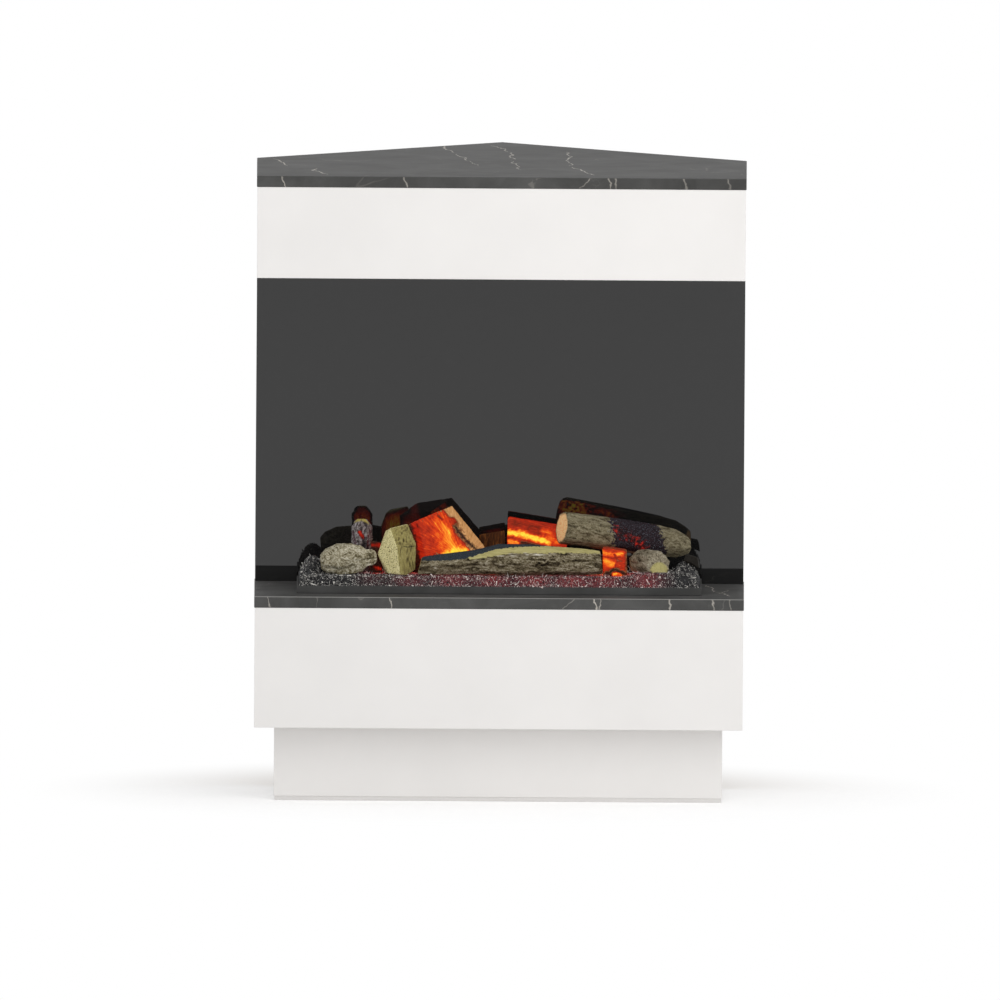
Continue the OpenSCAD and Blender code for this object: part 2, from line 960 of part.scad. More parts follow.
// Upright knobby stub behind the lump
module bark_stub() {
    color(bark_brown)
        lay(-219, 122, 0, 0, -90)
            log_form(84, [[0, 17], [0.35, 13], [0.6, 17], [0.85, 17], [1, 9]],
                [], 999, bark * 1.3, 6);
}

// Two glowing lumps: one at the right end of the front log, one by the knobby stub
module glow_chunk() {
    color(glow_orange) {
        split_block([[166, 70, 44], [200, 77, 40], [167, 68, 0], [201, 71, 0],
            [172, 96, 42], [196, 98, 38], [172, 100, 0], [196, 100, 0]], 3);
        split_block([[-203, 90, 51], [-188, 90, 49], [-204, 89, 0], [-187, 89, 0],
            [-201, 102, 48], [-189, 102, 46], [-203, 103, 0], [-188, 103, 0]]);
    }
}

// Small half log at the right, its cut end to the front, on its rise of embers
end_seat = 13;
module end_log() {
    color(bark_brown)
        lay(254, 38, rise_h + end_seat, 120)
            log_form(66, [[0, 21], [0.5, 23.5], [1, 19]], [], end_seat, bark, 7, [0.1, 0]);
}

// Loose coals: one on the right mound, one by the glowing lump, one under the round log.
// The first two lie a little way down in the granules.
coal_settle = 0.9;
module charcoal() {
    color(char_black) {
        split_block([[293, 66, 26], [304, 64, 24], [317, 68, 14], [318, 90, 14],
            [294, 92, 26], [304, 94, 24], [296, 70, 34], [314, 68, 31],
            [316, 86, 29], [298, 90, 35]], 1.5, coal_settle);
        split_block([[178, 48, 0], [194, 46, 0], [176, 62, 0], [195, 61, 0],
            [182, 51, 9], [191, 57, 8]], 1.5, coal_settle);
        split_block([[108, 92, 0], [150, 96, 0], [108, 128, 0], [150, 134, 0],
            [112, 100, 42.5], [146, 106, 36.5], [112, 118, 42.5], [146, 124, 36.5]], 2);
    }
}

plinth_seal();
plinth_front();
plinth_left();
plinth_right();
plinth_rear_left();
plinth_rear_right();
plinth_blocks();
lower_floor();
lower_front();
lower_left();
lower_right();
lower_rear_left();
lower_rear_right();
lower_blocks();
hearth_slab();
column_left();
column_right();
glass_backer();
back_glass();
column_rear_left();
column_rear_right();
corner_post();
upper_floor();
upper_front();
upper_left();
upper_right();
upper_rear_left();
upper_rear_right();
upper_blocks();
top_slab();
cable_gland();
chassis();
sump();
transducer_unit();
mist_nozzle();
feed_tube();
fan_housing();
fan_rotor();
lamp_bar();
lamps();
water_tank();
tank_cap();
control_box();
power_rocker();
button_up();
button_down();
bed_tray();
ember_bed();
front_log();
right_log();
glow_log();
centre_log();
rear_log();
pale_block();
bark_nugget();
bark_stub();
glow_chunk();
end_log();
charcoal();
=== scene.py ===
"""Visual model of the corner fireplace: a white cabinet, two dark marble boards, a black glass
rear wall and the glowing log bed of an electric mist fire.

The solid model is the fixed frame. Every piece here is built in its place, in metres, and stands
for one of its nodes or rides on one of its bodies. Sizes in the dataclasses are millimetres.
"""

import json
import logging
import math
import random
from dataclasses import dataclass, field, replace
from enum import Enum
from functools import partial
from itertools import groupby
from typing import Callable, Iterable, Optional, Union

import bmesh
import bpy
import numpy as np
from mathutils import Matrix, Vector, noise

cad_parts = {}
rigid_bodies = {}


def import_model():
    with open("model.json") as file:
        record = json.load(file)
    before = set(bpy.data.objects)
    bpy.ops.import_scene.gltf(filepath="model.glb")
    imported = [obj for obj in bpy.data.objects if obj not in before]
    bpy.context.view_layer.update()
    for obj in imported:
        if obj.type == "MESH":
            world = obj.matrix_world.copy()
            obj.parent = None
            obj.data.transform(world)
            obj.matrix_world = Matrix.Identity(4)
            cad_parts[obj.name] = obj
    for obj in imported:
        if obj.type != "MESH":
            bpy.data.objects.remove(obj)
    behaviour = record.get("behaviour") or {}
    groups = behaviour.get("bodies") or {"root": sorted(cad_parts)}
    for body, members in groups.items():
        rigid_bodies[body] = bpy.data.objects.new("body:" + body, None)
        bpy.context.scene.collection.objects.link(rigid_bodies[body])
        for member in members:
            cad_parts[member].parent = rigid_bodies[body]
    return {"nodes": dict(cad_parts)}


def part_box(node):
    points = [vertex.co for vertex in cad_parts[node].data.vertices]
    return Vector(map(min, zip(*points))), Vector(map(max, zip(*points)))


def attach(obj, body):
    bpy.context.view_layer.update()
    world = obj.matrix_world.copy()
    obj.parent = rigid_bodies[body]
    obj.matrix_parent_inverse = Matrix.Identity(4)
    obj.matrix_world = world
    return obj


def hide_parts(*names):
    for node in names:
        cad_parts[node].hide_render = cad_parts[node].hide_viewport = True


LOG = logging.getLogger("fireplace")
MM = 0.001
TRAY_W, TRAY_D = 643.0, 220.0  # the log bed's tray
BED_H = 26.0  # where the logs lie, over the hearth board
BED_GAP = 2.8  # from the ember bed to the tray's edge
RIM_DROP, RIM_W = 14.0, 20.0  # how the ember bed slopes down to its rim
MOUND_H, MOUND_X, MOUND_W = 24.0, 262.0, 34.0  # its mounds at both sides
RISE_H, RISE_X, RISE_W = 7.0, 207.0, 14.0  # its rise at the front right
BED_BODY, GRAVEL_SLOT = "log_bed", "ember_gravel"
NOISE_SEED = 41  # without it the curl of the bark follows the clock
PAINT_LAYERS = ("relief", "bark", "char", "warmth")
PURE_WHITE = (1.0, 1.0, 1.0, 1.0)

Socket = bpy.types.NodeSocket
Adder = Callable[..., Socket]
Look = dict[str, Union[float, tuple, Socket]]
Levels = dict[str, float]
Pair = tuple[float, float]
Point = tuple[float, float, float]
Stops = tuple[tuple[float, str], ...]


# --------------------------------------------------------------------------- small helpers


def linear(colour: str) -> tuple[float, float, float, float]:
    """Turns an sRGB hex colour into the linear values that Blender works in.

    Args:
        colour: the colour as "#RRGGBB".
    Returns:
        Linear red, green and blue, and an alpha of 1.
    """
    parts = [int(colour[i : i + 2], 16) / 255 for i in (1, 3, 5)]
    flat = [c / 12.92 if c <= 0.04045 else ((c + 0.055) / 1.055) ** 2.4 for c in parts]
    return (flat[0], flat[1], flat[2], 1.0)


def per(size: float) -> float:
    """Texture scale, for coordinates in metres, of features of a real size in mm."""
    return 1 / MM / size


def smooth(t: float) -> float:
    """Eases 0 to 1, held at both ends."""
    u = min(1.0, max(0.0, t))
    return u * u * (3 - 2 * u)


def lookup(pairs: tuple[Pair, ...], at: float) -> float:
    """Reads a value off (place, value) points in rising order, straight between them."""
    return float(np.interp(at, *zip(*pairs)))


def add_node(
    tree: bpy.types.NodeTree,
    kind: str,
    sockets: dict,
    out: Union[int, str] = 0,
    stops: Stops = (),
    **settings: object,
) -> Optional[Socket]:
    """Adds one node, sets it up and joins its sockets.

    Args:
        tree: the node tree.
        kind: the node's type name without its ShaderNode.
        sockets: value or output socket for each input, by name or by number.
        out: the output that is wanted.
        stops: (place, hex colour) of a colour ramp, in rising order.
        **settings: properties of the node itself.
    Returns:
        The wanted output, if the node has any.
    """
    node = tree.nodes.new("ShaderNode" + kind)
    for key, value in settings.items():
        setattr(node, key, value)
    for key, value in sockets.items():
        if isinstance(value, Socket):
            tree.links.new(value, node.inputs[key])
        else:
            node.inputs[key].default_value = value
    if stops:
        band = node.color_ramp.elements
        band.remove(band[1])
        band[0].position, band[0].color = stops[0][0], linear(stops[0][1])
        for place, colour in stops[1:]:
            band.new(place).color = linear(colour)
    return node.outputs[out] if len(node.outputs) else None


# --------------------------------------------------------------------------- finishes


@dataclass(frozen=True)
class Finish:
    """A surface finish. Pattern sizes are real sizes in mm."""

    name: str

    def material(self) -> bpy.types.Material:
        """Builds the finish once and gives the same material after that.

        Returns:
            The material.
        """
        own_name = f"finish.{self.name}"
        made = bpy.data.materials.get(own_name)
        if made:
            return made
        made = bpy.data.materials.new(own_name)
        made.use_nodes = True
        made.node_tree.nodes.clear()
        add = partial(add_node, made.node_tree)
        place = add("TexCoord", {}, "Object")
        add("OutputMaterial", {"Surface": self.surface(add, place)})
        return made

    def surface(self, add: Adder, place: Socket) -> Socket:
        """The shader, from add, which adds a node, and place, which is in metres."""
        return add("BsdfPrincipled", self.look(add, place))

    def look(self, add: Adder, place: Socket) -> Look:
        """Adds the finish's pattern. Every finish has its own.

        Args:
            add: adds a node to the material.
            place: coordinates in metres.
        Returns:
            Value or socket for each input of the principled shader that the finish sets.
        """
        raise NotImplementedError


@dataclass(frozen=True)
class Lacquer(Finish):
    """Sprayed lacquer on board: even colour with faint cloudiness and orange peel."""

    light: str = "#F4F2F0"
    dark: str = "#F1EFED"
    roughness: float = 0.35
    peel: float = 3.0
    depth: float = 0.012

    def look(self, add: Adder, place: Socket) -> Look:
        """Cloudiness and orange peel.

        Args:
            add: adds a node to the material.
            place: coordinates in metres.
        Returns:
            Value or socket for each input of the shader that the finish sets.
        """
        cloud = add("TexNoise", {"Vector": place, "Scale": per(140), "Detail": 3.0})
        peel = add("TexNoise", {"Vector": place, "Scale": per(self.peel), "Detail": 1.0})
        return {
            "Base Color": add(
                "ValToRGB", {0: cloud}, stops=((0.35, self.dark), (0.65, self.light))
            ),
            "Roughness": add(
                "MapRange", {0: cloud, 3: self.roughness - 0.03, 4: self.roughness + 0.04}
            ),
            "Normal": add("Bump", {"Height": peel, "Distance": self.depth * MM}),
        }


@dataclass(frozen=True)
class RawBoard(Finish):
    """Uncoated fibre board: warm, fine flecks and a dusty surface with no shine."""

    light: str = "#B39A76"
    dark: str = "#927856"
    fleck: float = 2.4

    def look(self, add: Adder, place: Socket) -> Look:
        """Flecks over soft clouds.

        Args:
            add: adds a node to the material.
            place: coordinates in metres.
        Returns:
            Value or socket for each input of the shader that the finish sets.
        """
        flecks = {"Vector": place, "Scale": per(self.fleck), "Detail": 5.0, "Roughness": 0.75}
        fibre = add("TexNoise", flecks)
        cloud = add("TexNoise", {"Vector": place, "Scale": per(60), "Detail": 2.0})
        both = add("Math", {0: cloud, 1: 0.3, 2: fibre}, operation="MULTIPLY_ADD")
        return {
            "Base Color": add(
                "ValToRGB", {0: both}, stops=((0.42, self.dark), (0.88, self.light))
            ),
            "Normal": add("Bump", {"Height": fibre, "Distance": 0.08 * MM}),
            "Roughness": 0.85,
        }


@dataclass(frozen=True)
class Vein:
    """A pale line in the marble, from one point [x, y, z] to another, in mm in the frame."""

    start: Point
    end: Point
    width: float = 1.6
    strength: float = 1.0
    bent: bool = True


@dataclass(frozen=True)
class Marble(Finish):
    """Matt laminate printed as dark marble: grey clouds, a few long cream veins that branch
    and break, a faint net of hair lines, and a painted highlight, a pale line on the up-facing
    chamfer of the edge."""

    base_dark: str = "#444443"
    base_light: str = "#5A5A59"
    vein: str = "#D2CCC2"
    # painted highlight: the colour of the chamfer faces that look up
    chamfer_highlight: str = "#A09F9C"
    veins: tuple[Vein, ...] = ()
    bend: Point = (0.036, 0.09, 0.0)  # how far long veins wander, in metres
    fray: Point = (0.009, 0.0, 0.0)  # the same for the short ones on the front edge
    taper: float = 0.14  # the share of a vein over which each end thins out

    def look(self, add: Adder, place: Socket) -> Look:
        """Clouds, veins and the painted highlight on the edge.

        Args:
            add: adds a node to the material.
            place: coordinates in metres.
        Returns:
            Value or socket for each input of the shader that the finish sets.
        """
        clouds = {"Vector": place, "Scale": per(90), "Detail": 6.0, "Roughness": 0.62}
        cloud = add("TexNoise", {**clouds, "Distortion": 0.6})
        waves = add("TexNoise", {"Vector": place, "Scale": per(55), "Detail": 4.0}, "Color")
        centred = add("VectorMath", {0: waves, 1: (0.5, 0.5, 0.5)}, operation="SUBTRACT")
        bent = add("VectorMath", {0: centred, 1: self.bend, 2: place}, operation="MULTIPLY_ADD")
        fine = add("TexNoise", {"Vector": place, "Scale": per(7), "Detail": 4.0}, "Color")
        frayed = add("VectorMath", {0: fine, 1: self.fray, 2: place}, operation="MULTIPLY_ADD")
        broken = add("MapRange", {0: cloud, 1: 0.38, 2: 0.55, 3: 0.35, 4: 1.0})
        total = self._hair_lines(add, place, bent)
        for vein in self.veins:
            total = self._line(add, vein, bent if vein.bent else frayed, total)
        lines = add("Math", {0: total, 1: broken}, operation="MULTIPLY")
        ground = add("ValToRGB", {0: cloud}, stops=((0.3, self.base_dark), (0.7, self.base_light)))
        stone = add("Mix", {0: lines, 6: ground, 7: linear(self.vein)}, 2, data_type="RGBA")
        # painted highlight: faces of the edge's chamfer that look up and forward get a pale colour
        upward = add("SeparateXYZ", {0: add("NewGeometry", {}, "Normal")}, "Z")
        edge = add("Math", {0: upward, 1: 0.7, 2: 0.22}, operation="COMPARE")
        highlighted = add("Mix", {0: edge, 6: stone, 7: linear(self.chamfer_highlight)}, 2, data_type="RGBA")
        return {"Base Color": highlighted, "Roughness": 0.55, "Specular IOR Level": 0.07}

    def _hair_lines(self, add: Adder, place: Socket, bent: Socket) -> Socket:
        """Adds the net of faint hair lines.

        Args:
            add: adds a node.
            place: coordinates in metres.
            bent: the same, bent by noise.
        Returns:
            How strongly a line shows, 0 to 1.
        """
        waves = {"Vector": bent, "Scale": per(210), "Detail": 2.0, "Distortion": 0.8}
        off = add("Math", {0: add("TexNoise", waves), 1: 0.5}, operation="SUBTRACT")
        away = add("Math", {0: off}, operation="ABSOLUTE")
        line = {0: away, 1: 0.0, 2: 0.006, 3: 0.13, 4: 0.0}
        net = add("MapRange", line, interpolation_type="SMOOTHSTEP")
        gaps = add("TexNoise", {"Vector": place, "Scale": per(80), "Detail": 2.0})
        kept = add("MapRange", {0: gaps, 1: 0.48, 2: 0.6})
        return add("Math", {0: net, 1: kept}, operation="MULTIPLY")

    def _line(self, add: Adder, vein: Vein, bent: Socket, total: Socket) -> Socket:
        """Adds one vein by its distance from a line.

        Args:
            add: adds a node.
            vein: the vein.
            bent: bent coordinates in metres.
            total: the veins so far.
        Returns:
            The veins with this one.
        """
        start = Vector(vein.start) * MM
        run = Vector(vein.end) * MM - start
        width = vein.width * MM
        on = add("VectorMath", {0: bent, 1: tuple(start)}, operation="SUBTRACT")
        way = {0: on, 1: tuple(run.normalized())}
        along = add("VectorMath", way, "Value", operation="DOT_PRODUCT")
        share = add("MapRange", {0: along, 1: 0.0, 2: run.length})
        foot = {0: share, 1: tuple(run), 2: tuple(start)}
        nearest = add("VectorMath", foot, operation="MULTIPLY_ADD")
        away = add("VectorMath", {0: bent, 1: nearest}, "Value", operation="DISTANCE")
        middle = add("Math", {0: share, 1: 0.5}, operation="PINGPONG")
        thin = add("MapRange", {0: middle, 1: 0.0, 2: self.taper, 3: width * vein.bent, 4: 0.0})
        inside = add("Math", {0: away, 1: thin}, operation="ADD")
        fade = {0: inside, 1: 0.0, 2: width, 3: vein.strength, 4: 0.0}
        line = add("MapRange", fade, interpolation_type="SMOOTHSTEP")
        return add("Math", {0: total, 1: line}, operation="MAXIMUM")


@dataclass(frozen=True)
class Glass(Finish):
    """Back-painted black float glass: a clean mirror reflection over black, with a breath of
    wiping marks in its gloss."""

    colour: str = "#171717"

    def look(self, add: Adder, place: Socket) -> Look:
        """Wiping marks.

        Args:
            add: adds a node to the material.
            place: coordinates in metres.
        Returns:
            Value or socket for each input of the shader that the finish sets.
        """
        marks = {"Vector": place, "Scale": per(120), "Detail": 4.0, "Distortion": 1.5}
        rough = add("MapRange", {0: add("TexNoise", marks), 1: 0.45, 2: 0.8, 3: 0.0, 4: 0.04})
        return {"Base Color": linear(self.colour), "IOR": 1.58, "Roughness": rough}


@dataclass(frozen=True)
class Plastic(Finish):
    """Moulded plastic: a fine spark-eroded grain, a little paler where the grain stands up."""

    light: str = "#1C1C1D"
    dark: str = "#141415"
    roughness: float = 0.5
    grain: float = 0.7
    clear: float = 0.0

    def look(self, add: Adder, place: Socket) -> Look:
        """Grain and flow marks.

        Args:
            add: adds a node to the material.
            place: coordinates in metres.
        Returns:
            Value or socket for each input of the shader that the finish sets.
        """
        grain = add("TexNoise", {"Vector": place, "Scale": per(self.grain), "Detail": 2.0})
        flow = add("TexNoise", {"Vector": place, "Scale": per(35), "Detail": 2.0})
        return {
            "Base Color": add(
                "ValToRGB", {0: grain}, stops=((0.35, self.dark), (0.65, self.light))
            ),
            "Roughness": add(
                "MapRange", {0: flow, 3: self.roughness - 0.06, 4: self.roughness + 0.06}
            ),
            "Normal": add("Bump", {"Height": grain, "Distance": 0.02 * MM}),
            "Transmission Weight": self.clear,
        }


@dataclass(frozen=True)
class SheetMetal(Finish):
    """Zinc-plated or stainless sheet: bright metal with soft spangle and rolling marks."""

    light: str = "#C6C8CA"
    dark: str = "#A2A5A8"
    roughness: float = 0.34
    spangle: float = 9.0

    def look(self, add: Adder, place: Socket) -> Look:
        """Spangle and rolling marks.

        Args:
            add: adds a node to the material.
            place: coordinates in metres.
        Returns:
            Value or socket for each input of the shader that the finish sets.
        """
        cells = add("TexVoronoi", {"Vector": place, "Scale": per(self.spangle)}, "Color")
        grey = add("SeparateColor", {0: cells})
        rolled = add("Mapping", {"Vector": place, "Scale": (0.05, 1.0, 1.0)})
        lines = add("TexNoise", {"Vector": rolled, "Scale": per(1.2)})
        return {
            "Base Color": add("ValToRGB", {0: grey}, stops=((0.0, self.dark), (1.0, self.light))),
            "Roughness": add(
                "MapRange", {0: lines, 3: self.roughness - 0.08, 4: self.roughness + 0.1}
            ),
            "Metallic": 1.0,
        }


@dataclass(frozen=True)
class PowderCoat(Finish):
    """Fine-textured powder coat on steel: dark, matt, with a dry grain that scatters light."""

    light: str = "#46474A"
    dark: str = "#35363A"

    def look(self, add: Adder, place: Socket) -> Look:
        """Grain and dust.

        Args:
            add: adds a node to the material.
            place: coordinates in metres.
        Returns:
            Value or socket for each input of the shader that the finish sets.
        """
        grain = add("TexNoise", {"Vector": place, "Scale": per(1.1), "Detail": 3.0})
        dust = add("TexNoise", {"Vector": place, "Scale": per(45), "Detail": 4.0})
        return {
            "Base Color": add("ValToRGB", {0: dust}, stops=((0.35, self.dark), (0.7, self.light))),
            "Normal": add("Bump", {"Height": grain, "Distance": 0.05 * MM}),
            "Roughness": 0.55,
        }


@dataclass(frozen=True)
class Lamp(Finish):
    """Frosted lens of a lit lamp: warm light that is strongest through its middle."""

    colour: str = "#FFB45A"
    strength: float = 2.5

    def look(self, add: Adder, place: Socket) -> Look:
        """Frost over the light.

        Args:
            add: adds a node to the material.
            place: coordinates in metres.
        Returns:
            Value or socket for each input of the shader that the finish sets.
        """
        frost = add("TexNoise", {"Vector": place, "Scale": per(1.5), "Detail": 2.0})
        glow = add("MapRange", {0: frost, 3: self.strength * 0.7, 4: self.strength * 1.2})
        own = linear(self.colour)
        return {
            "Base Color": own,
            "Emission Color": own,
            "Emission Strength": glow,
            "Roughness": 0.4,
        }


@dataclass(frozen=True)
class Resin(Finish):
    """Cast resin painted as wood and lit from inside.

    The meshes carry what the paint follows: grain (place along and across the wood, metres),
    relief, bark, char and warmth, each 0 to 1. Bark is dark in its furrows, partly dark paint and
    partly painted shade, and pale on its ridges, partly dry brushing and partly painted highlight;
    split wood shows its fibres, burnt wood is black with ash specks, and heat shines through in
    red, orange and yellow.
    """

    # bark from furrow to ridge: its dark end is partly painted shade, its pale end partly painted
    # highlight
    bark: Stops = (
        (0.08, "#211C16"), (0.3, "#514935"), (0.55, "#7C735A"), (0.8, "#A1987C"), (0.97, "#CFC8B0"),
    )
    wood: Stops = ((0.25, "#6E5A36"), (0.5, "#A89C68"), (0.75, "#C8BE8C"))
    charred: Stops = ((0.3, "#100F0E"), (0.55, "#26231F"), (0.72, "#3A3733"), (0.8, "#77726A"))
    fire: Stops = (
        (0.14, "#000000"), (0.28, "#4A0A06"), (0.42, "#A81E0C"), (0.56, "#DC3C0C"),
        (0.7, "#F6781C"), (0.84, "#FFA62C"), (1.0, "#FFE040"),
    )
    dimmed: str = "#1C0A05"  # paint with light behind it
    fibre: float = 1.8
    pits: float = 0.0
    streaks: float = 0.3  # how unevenly fibres let the light through
    blotches: float = 0.22  # the same for patches
    hair: float = 0.0  # bright fibres in the glow
    through: float = 0.0  # light through bare wood

    def look(self, add: Adder, place: Socket) -> Look:
        """Bark, wood, char and glow.

        Args:
            add: adds a node to the material.
            place: coordinates in metres.
        Returns:
            Value or socket for each input of the shader that the finish sets.
        """
        grain = add("Attribute", {}, "Vector", attribute_name="grain")
        relief, bare, char, warmth = (
            add("Attribute", {}, "Fac", attribute_name=name) for name in PAINT_LAYERS
        )
        drawn = add("Mapping", {"Vector": grain, "Scale": (0.09, 1.0, 1.0)})
        fibres = {"Scale": per(self.fibre), "Detail": 5.0, "Roughness": 0.7, "Distortion": 0.5}
        streak = add("TexNoise", {"Vector": drawn, **fibres})
        specks = {"Scale": per(1.6), "Detail": 4.0, "Roughness": 0.7}
        speck = add("TexNoise", {"Vector": grain, **specks})
        patches = {"Scale": per(7.0), "Detail": 4.0, "Roughness": 0.65}
        patch = add("TexNoise", {"Vector": grain, **patches})
        # bark colour follows the relief: dark in furrows, partly painted shade, and pale on ridges,
        # partly painted highlight
        brush_and_painted_light = add("Math", {0: speck, 1: 0.5, 2: relief}, operation="MULTIPLY_ADD")
        lowered = add("Math", {0: brush_and_painted_light, 1: 0.25}, operation="SUBTRACT")
        hole = add("MapRange", {0: speck, 1: 0.53, 2: 0.63, 3: 0.0, 4: self.pits})
        pitted = add("Math", {0: streak, 1: hole}, operation="SUBTRACT")
        coat = {
            0: bare,
            6: add("ValToRGB", {0: pitted}, stops=self.wood),
            7: add("ValToRGB", {0: lowered}, stops=self.bark),
        }
        painted = add("Mix", coat, 2, data_type="RGBA")
        burnt = add("Math", {0: patch, 1: 0.9, 2: char}, operation="MULTIPLY_ADD")
        black = add("ValToRGB", {0: speck}, stops=self.charred)
        coat = {0: add("MapRange", {0: burnt, 1: 0.75, 2: 1.15}), 6: painted, 7: black}
        coloured = add("Mix", coat, 2, data_type="RGBA")
        spread = ((streak, self.streaks), (patch, self.blotches))
        lit, mottled = (
            add("MapRange", {0: pattern, 1: 0.35, 2: 0.65, 3: 1 - by, 4: 1 + by})
            for pattern, by in spread
        )
        texture = add("Math", {0: lit, 1: mottled}, operation="MULTIPLY")
        hair = add("MapRange", {0: streak, 1: 0.6, 2: 0.68, 3: 0.0, 4: self.hair})
        bright = add("Math", {0: texture, 1: hair}, operation="ADD")
        heat = add("Math", {0: warmth, 1: bright}, operation="MULTIPLY")
        fire = add("ValToRGB", {0: heat}, stops=self.fire)
        shaded = add("MapRange", {0: warmth, 1: 0.13, 2: 0.34, 3: 0.0, 4: 0.97})
        under = {0: shaded, 6: coloured, 7: linear(self.dimmed)}
        under_glow = add("Mix", under, 2, data_type="RGBA")
        open_wood = add("MapRange", {0: bare, 1: 0.0, 2: 1.0, 3: self.through, 4: 0.0})
        light = {0: open_wood, 6: fire, 7: under_glow}
        return {
            "Base Color": under_glow,
            "Emission Color": add("Mix", light, 2, data_type="RGBA", blend_type="ADD"),
            "Normal": add("Bump", {"Height": speck, "Distance": 0.35 * MM, "Strength": 0.8}),
            "Emission Strength": 1.0,
            "Roughness": 0.72,
            "Specular IOR Level": 0.12,
        }


@dataclass(frozen=True)
class Gravel(Finish):
    """Cast ember granules: dark slate grains with pale flecks, red where light comes through."""

    stops: Stops = ((0.0, "#0E0E0F"), (0.5, "#2C2C2E"), (0.8, "#6A6968"), (0.97, "#F0EDE6"))
    fire: Stops = (
        (0.06, "#000000"), (0.2, "#2A0C10"), (0.36, "#5E1C22"), (0.55, "#B42E20"), (0.8, "#FF6A24"),
    )

    def look(self, add: Adder, place: Socket) -> Look:
        """Grains with their own tone and warmth.

        Args:
            add: adds a node to the material.
            place: coordinates in metres.
        Returns:
            Value or socket for each input of the shader that the finish sets.
        """
        tone = add("Attribute", {}, "Fac", attribute_name="relief")
        warmth = add("Attribute", {}, "Fac", attribute_name="warmth")
        specks = {"Vector": place, "Scale": per(1.4), "Detail": 3.0, "Roughness": 0.7}
        speck = add("TexNoise", specks)
        mixed = add("Math", {0: speck, 1: 0.5, 2: tone}, operation="MULTIPLY_ADD")
        lowered = add("Math", {0: mixed, 1: 0.25}, operation="SUBTRACT")
        heat = add("Math", {0: warmth, 1: speck}, operation="MULTIPLY")
        return {
            "Base Color": add("ValToRGB", {0: lowered}, stops=self.stops),
            "Emission Color": add("ValToRGB", {0: heat}, stops=self.fire),
            "Emission Strength": 1.0,
            "Roughness": 0.7,
        }


@dataclass(frozen=True)
class StudioFloor(Finish):
    """Plain pale floor: matt white that takes the shadow and fades to the white background."""

    near: float = 0.34
    far: float = 0.78
    lift: float = 0.3
    centre: Point = (0.0, -0.1, 0.0)

    def look(self, add: Adder, place: Socket) -> Look:
        """Two close whites.

        Args:
            add: adds a node to the material.
            place: coordinates in metres.
        Returns:
            Value or socket for each input of the shader that the finish sets.
        """
        fine = add("TexNoise", {"Vector": place, "Scale": per(400), "Detail": 2.0})
        colour = add("ValToRGB", {0: fine}, stops=((0.3, "#F7F7F7"), (0.7, "#FAFAFA")))
        return {"Base Color": colour, "Roughness": 0.9, "Specular IOR Level": 0.0}

    def surface(self, add: Adder, place: Socket) -> Socket:
        """The floor's shader, lifted and faded for the rays that see it.

        Args:
            add: adds a node.
            place: coordinates in metres.
        Returns:
            The shader.
        """
        seen = seen_directly(add)
        away = add("VectorMath", {0: place, 1: self.centre}, "Value", operation="DISTANCE")
        reach = {0: away, 1: self.near, 2: self.far}
        fade = add("MapRange", reach, interpolation_type="SMOOTHSTEP")
        lift = add("Math", {0: seen, 1: self.lift}, operation="MULTIPLY")
        veil = add("Emission", {"Color": PURE_WHITE, "Strength": lift})
        parts = {
            0: add("Math", {0: fade, 1: seen}, operation="MULTIPLY"),
            1: add("AddShader", {0: super().surface(add, place), 1: veil}),
            2: add("Emission", {"Color": PURE_WHITE, "Strength": 1.0}),
        }
        return add("MixShader", parts)


def seen_directly(add: Adder) -> Socket:
    """Tells camera, mirror and clear rays from the ones that only carry light.

    Args:
        add: adds a node.
    Returns:
        1 for camera, glossy and transmission rays, else 0.
    """
    rays = add("LightPath", {}).node.outputs
    seen = rays["Is Camera Ray"]
    for kind in ("Is Glossy Ray", "Is Transmission Ray"):
        seen = add("Math", {0: seen, 1: rays[kind]}, operation="MAXIMUM")
    return seen


# --------------------------------------------------------------------------- the place


@dataclass(frozen=True)
class Site:
    """Levels and edges read off the frame, in metres, that the log bed is laid out from."""

    front: float
    tray_front: float
    bed_low: float
    bed_top: float
    scale: float

    @classmethod
    def read(cls) -> "Site":
        """Measures the frame.

        Returns:
            The levels and edges.
        """
        low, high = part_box("bed_tray")
        return cls(
            front=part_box("top_slab")[0].y,
            tray_front=low.y,
            bed_low=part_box("ember_bed")[0].z,
            bed_top=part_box("hearth_slab")[1].z + BED_H * MM,
            scale=(high.x - low.x) / TRAY_W / MM,
        )

    def at(self, x: float, d: float, z: float) -> Vector:
        """Place in the frame of a point x mm right, d behind the tray's front, z over the bed."""
        k = self.scale * MM
        return Vector((x * k, self.tray_front + d * k, self.bed_top + z * k))

    @staticmethod
    def bed_height(x: float, d: float) -> float:
        """Height of the ember bed without its grains, over the level where the logs lie.

        Args:
            x: mm to the right.
            d: mm behind the tray's front edge.
        Returns:
            The height in mm.
        """
        edge = min(d, TRAY_D - d, TRAY_W / 2 - abs(x))
        slope = -RIM_DROP + RIM_DROP * smooth((edge - 3) / RIM_W)
        left = smooth((-MOUND_X - x) / MOUND_W) * smooth(1 - abs(d - 128) / 72)
        right = smooth((x - MOUND_X) / MOUND_W) * smooth(1 - abs(d - 80) / 50)
        mound = MOUND_H * (left + right) * smooth((edge + 14) / 30)
        rise = RISE_H * smooth((x - RISE_X) / RISE_W) * smooth((d - 4) / RISE_W)
        return slope + max(mound, rise * smooth((118 - d) / 16))


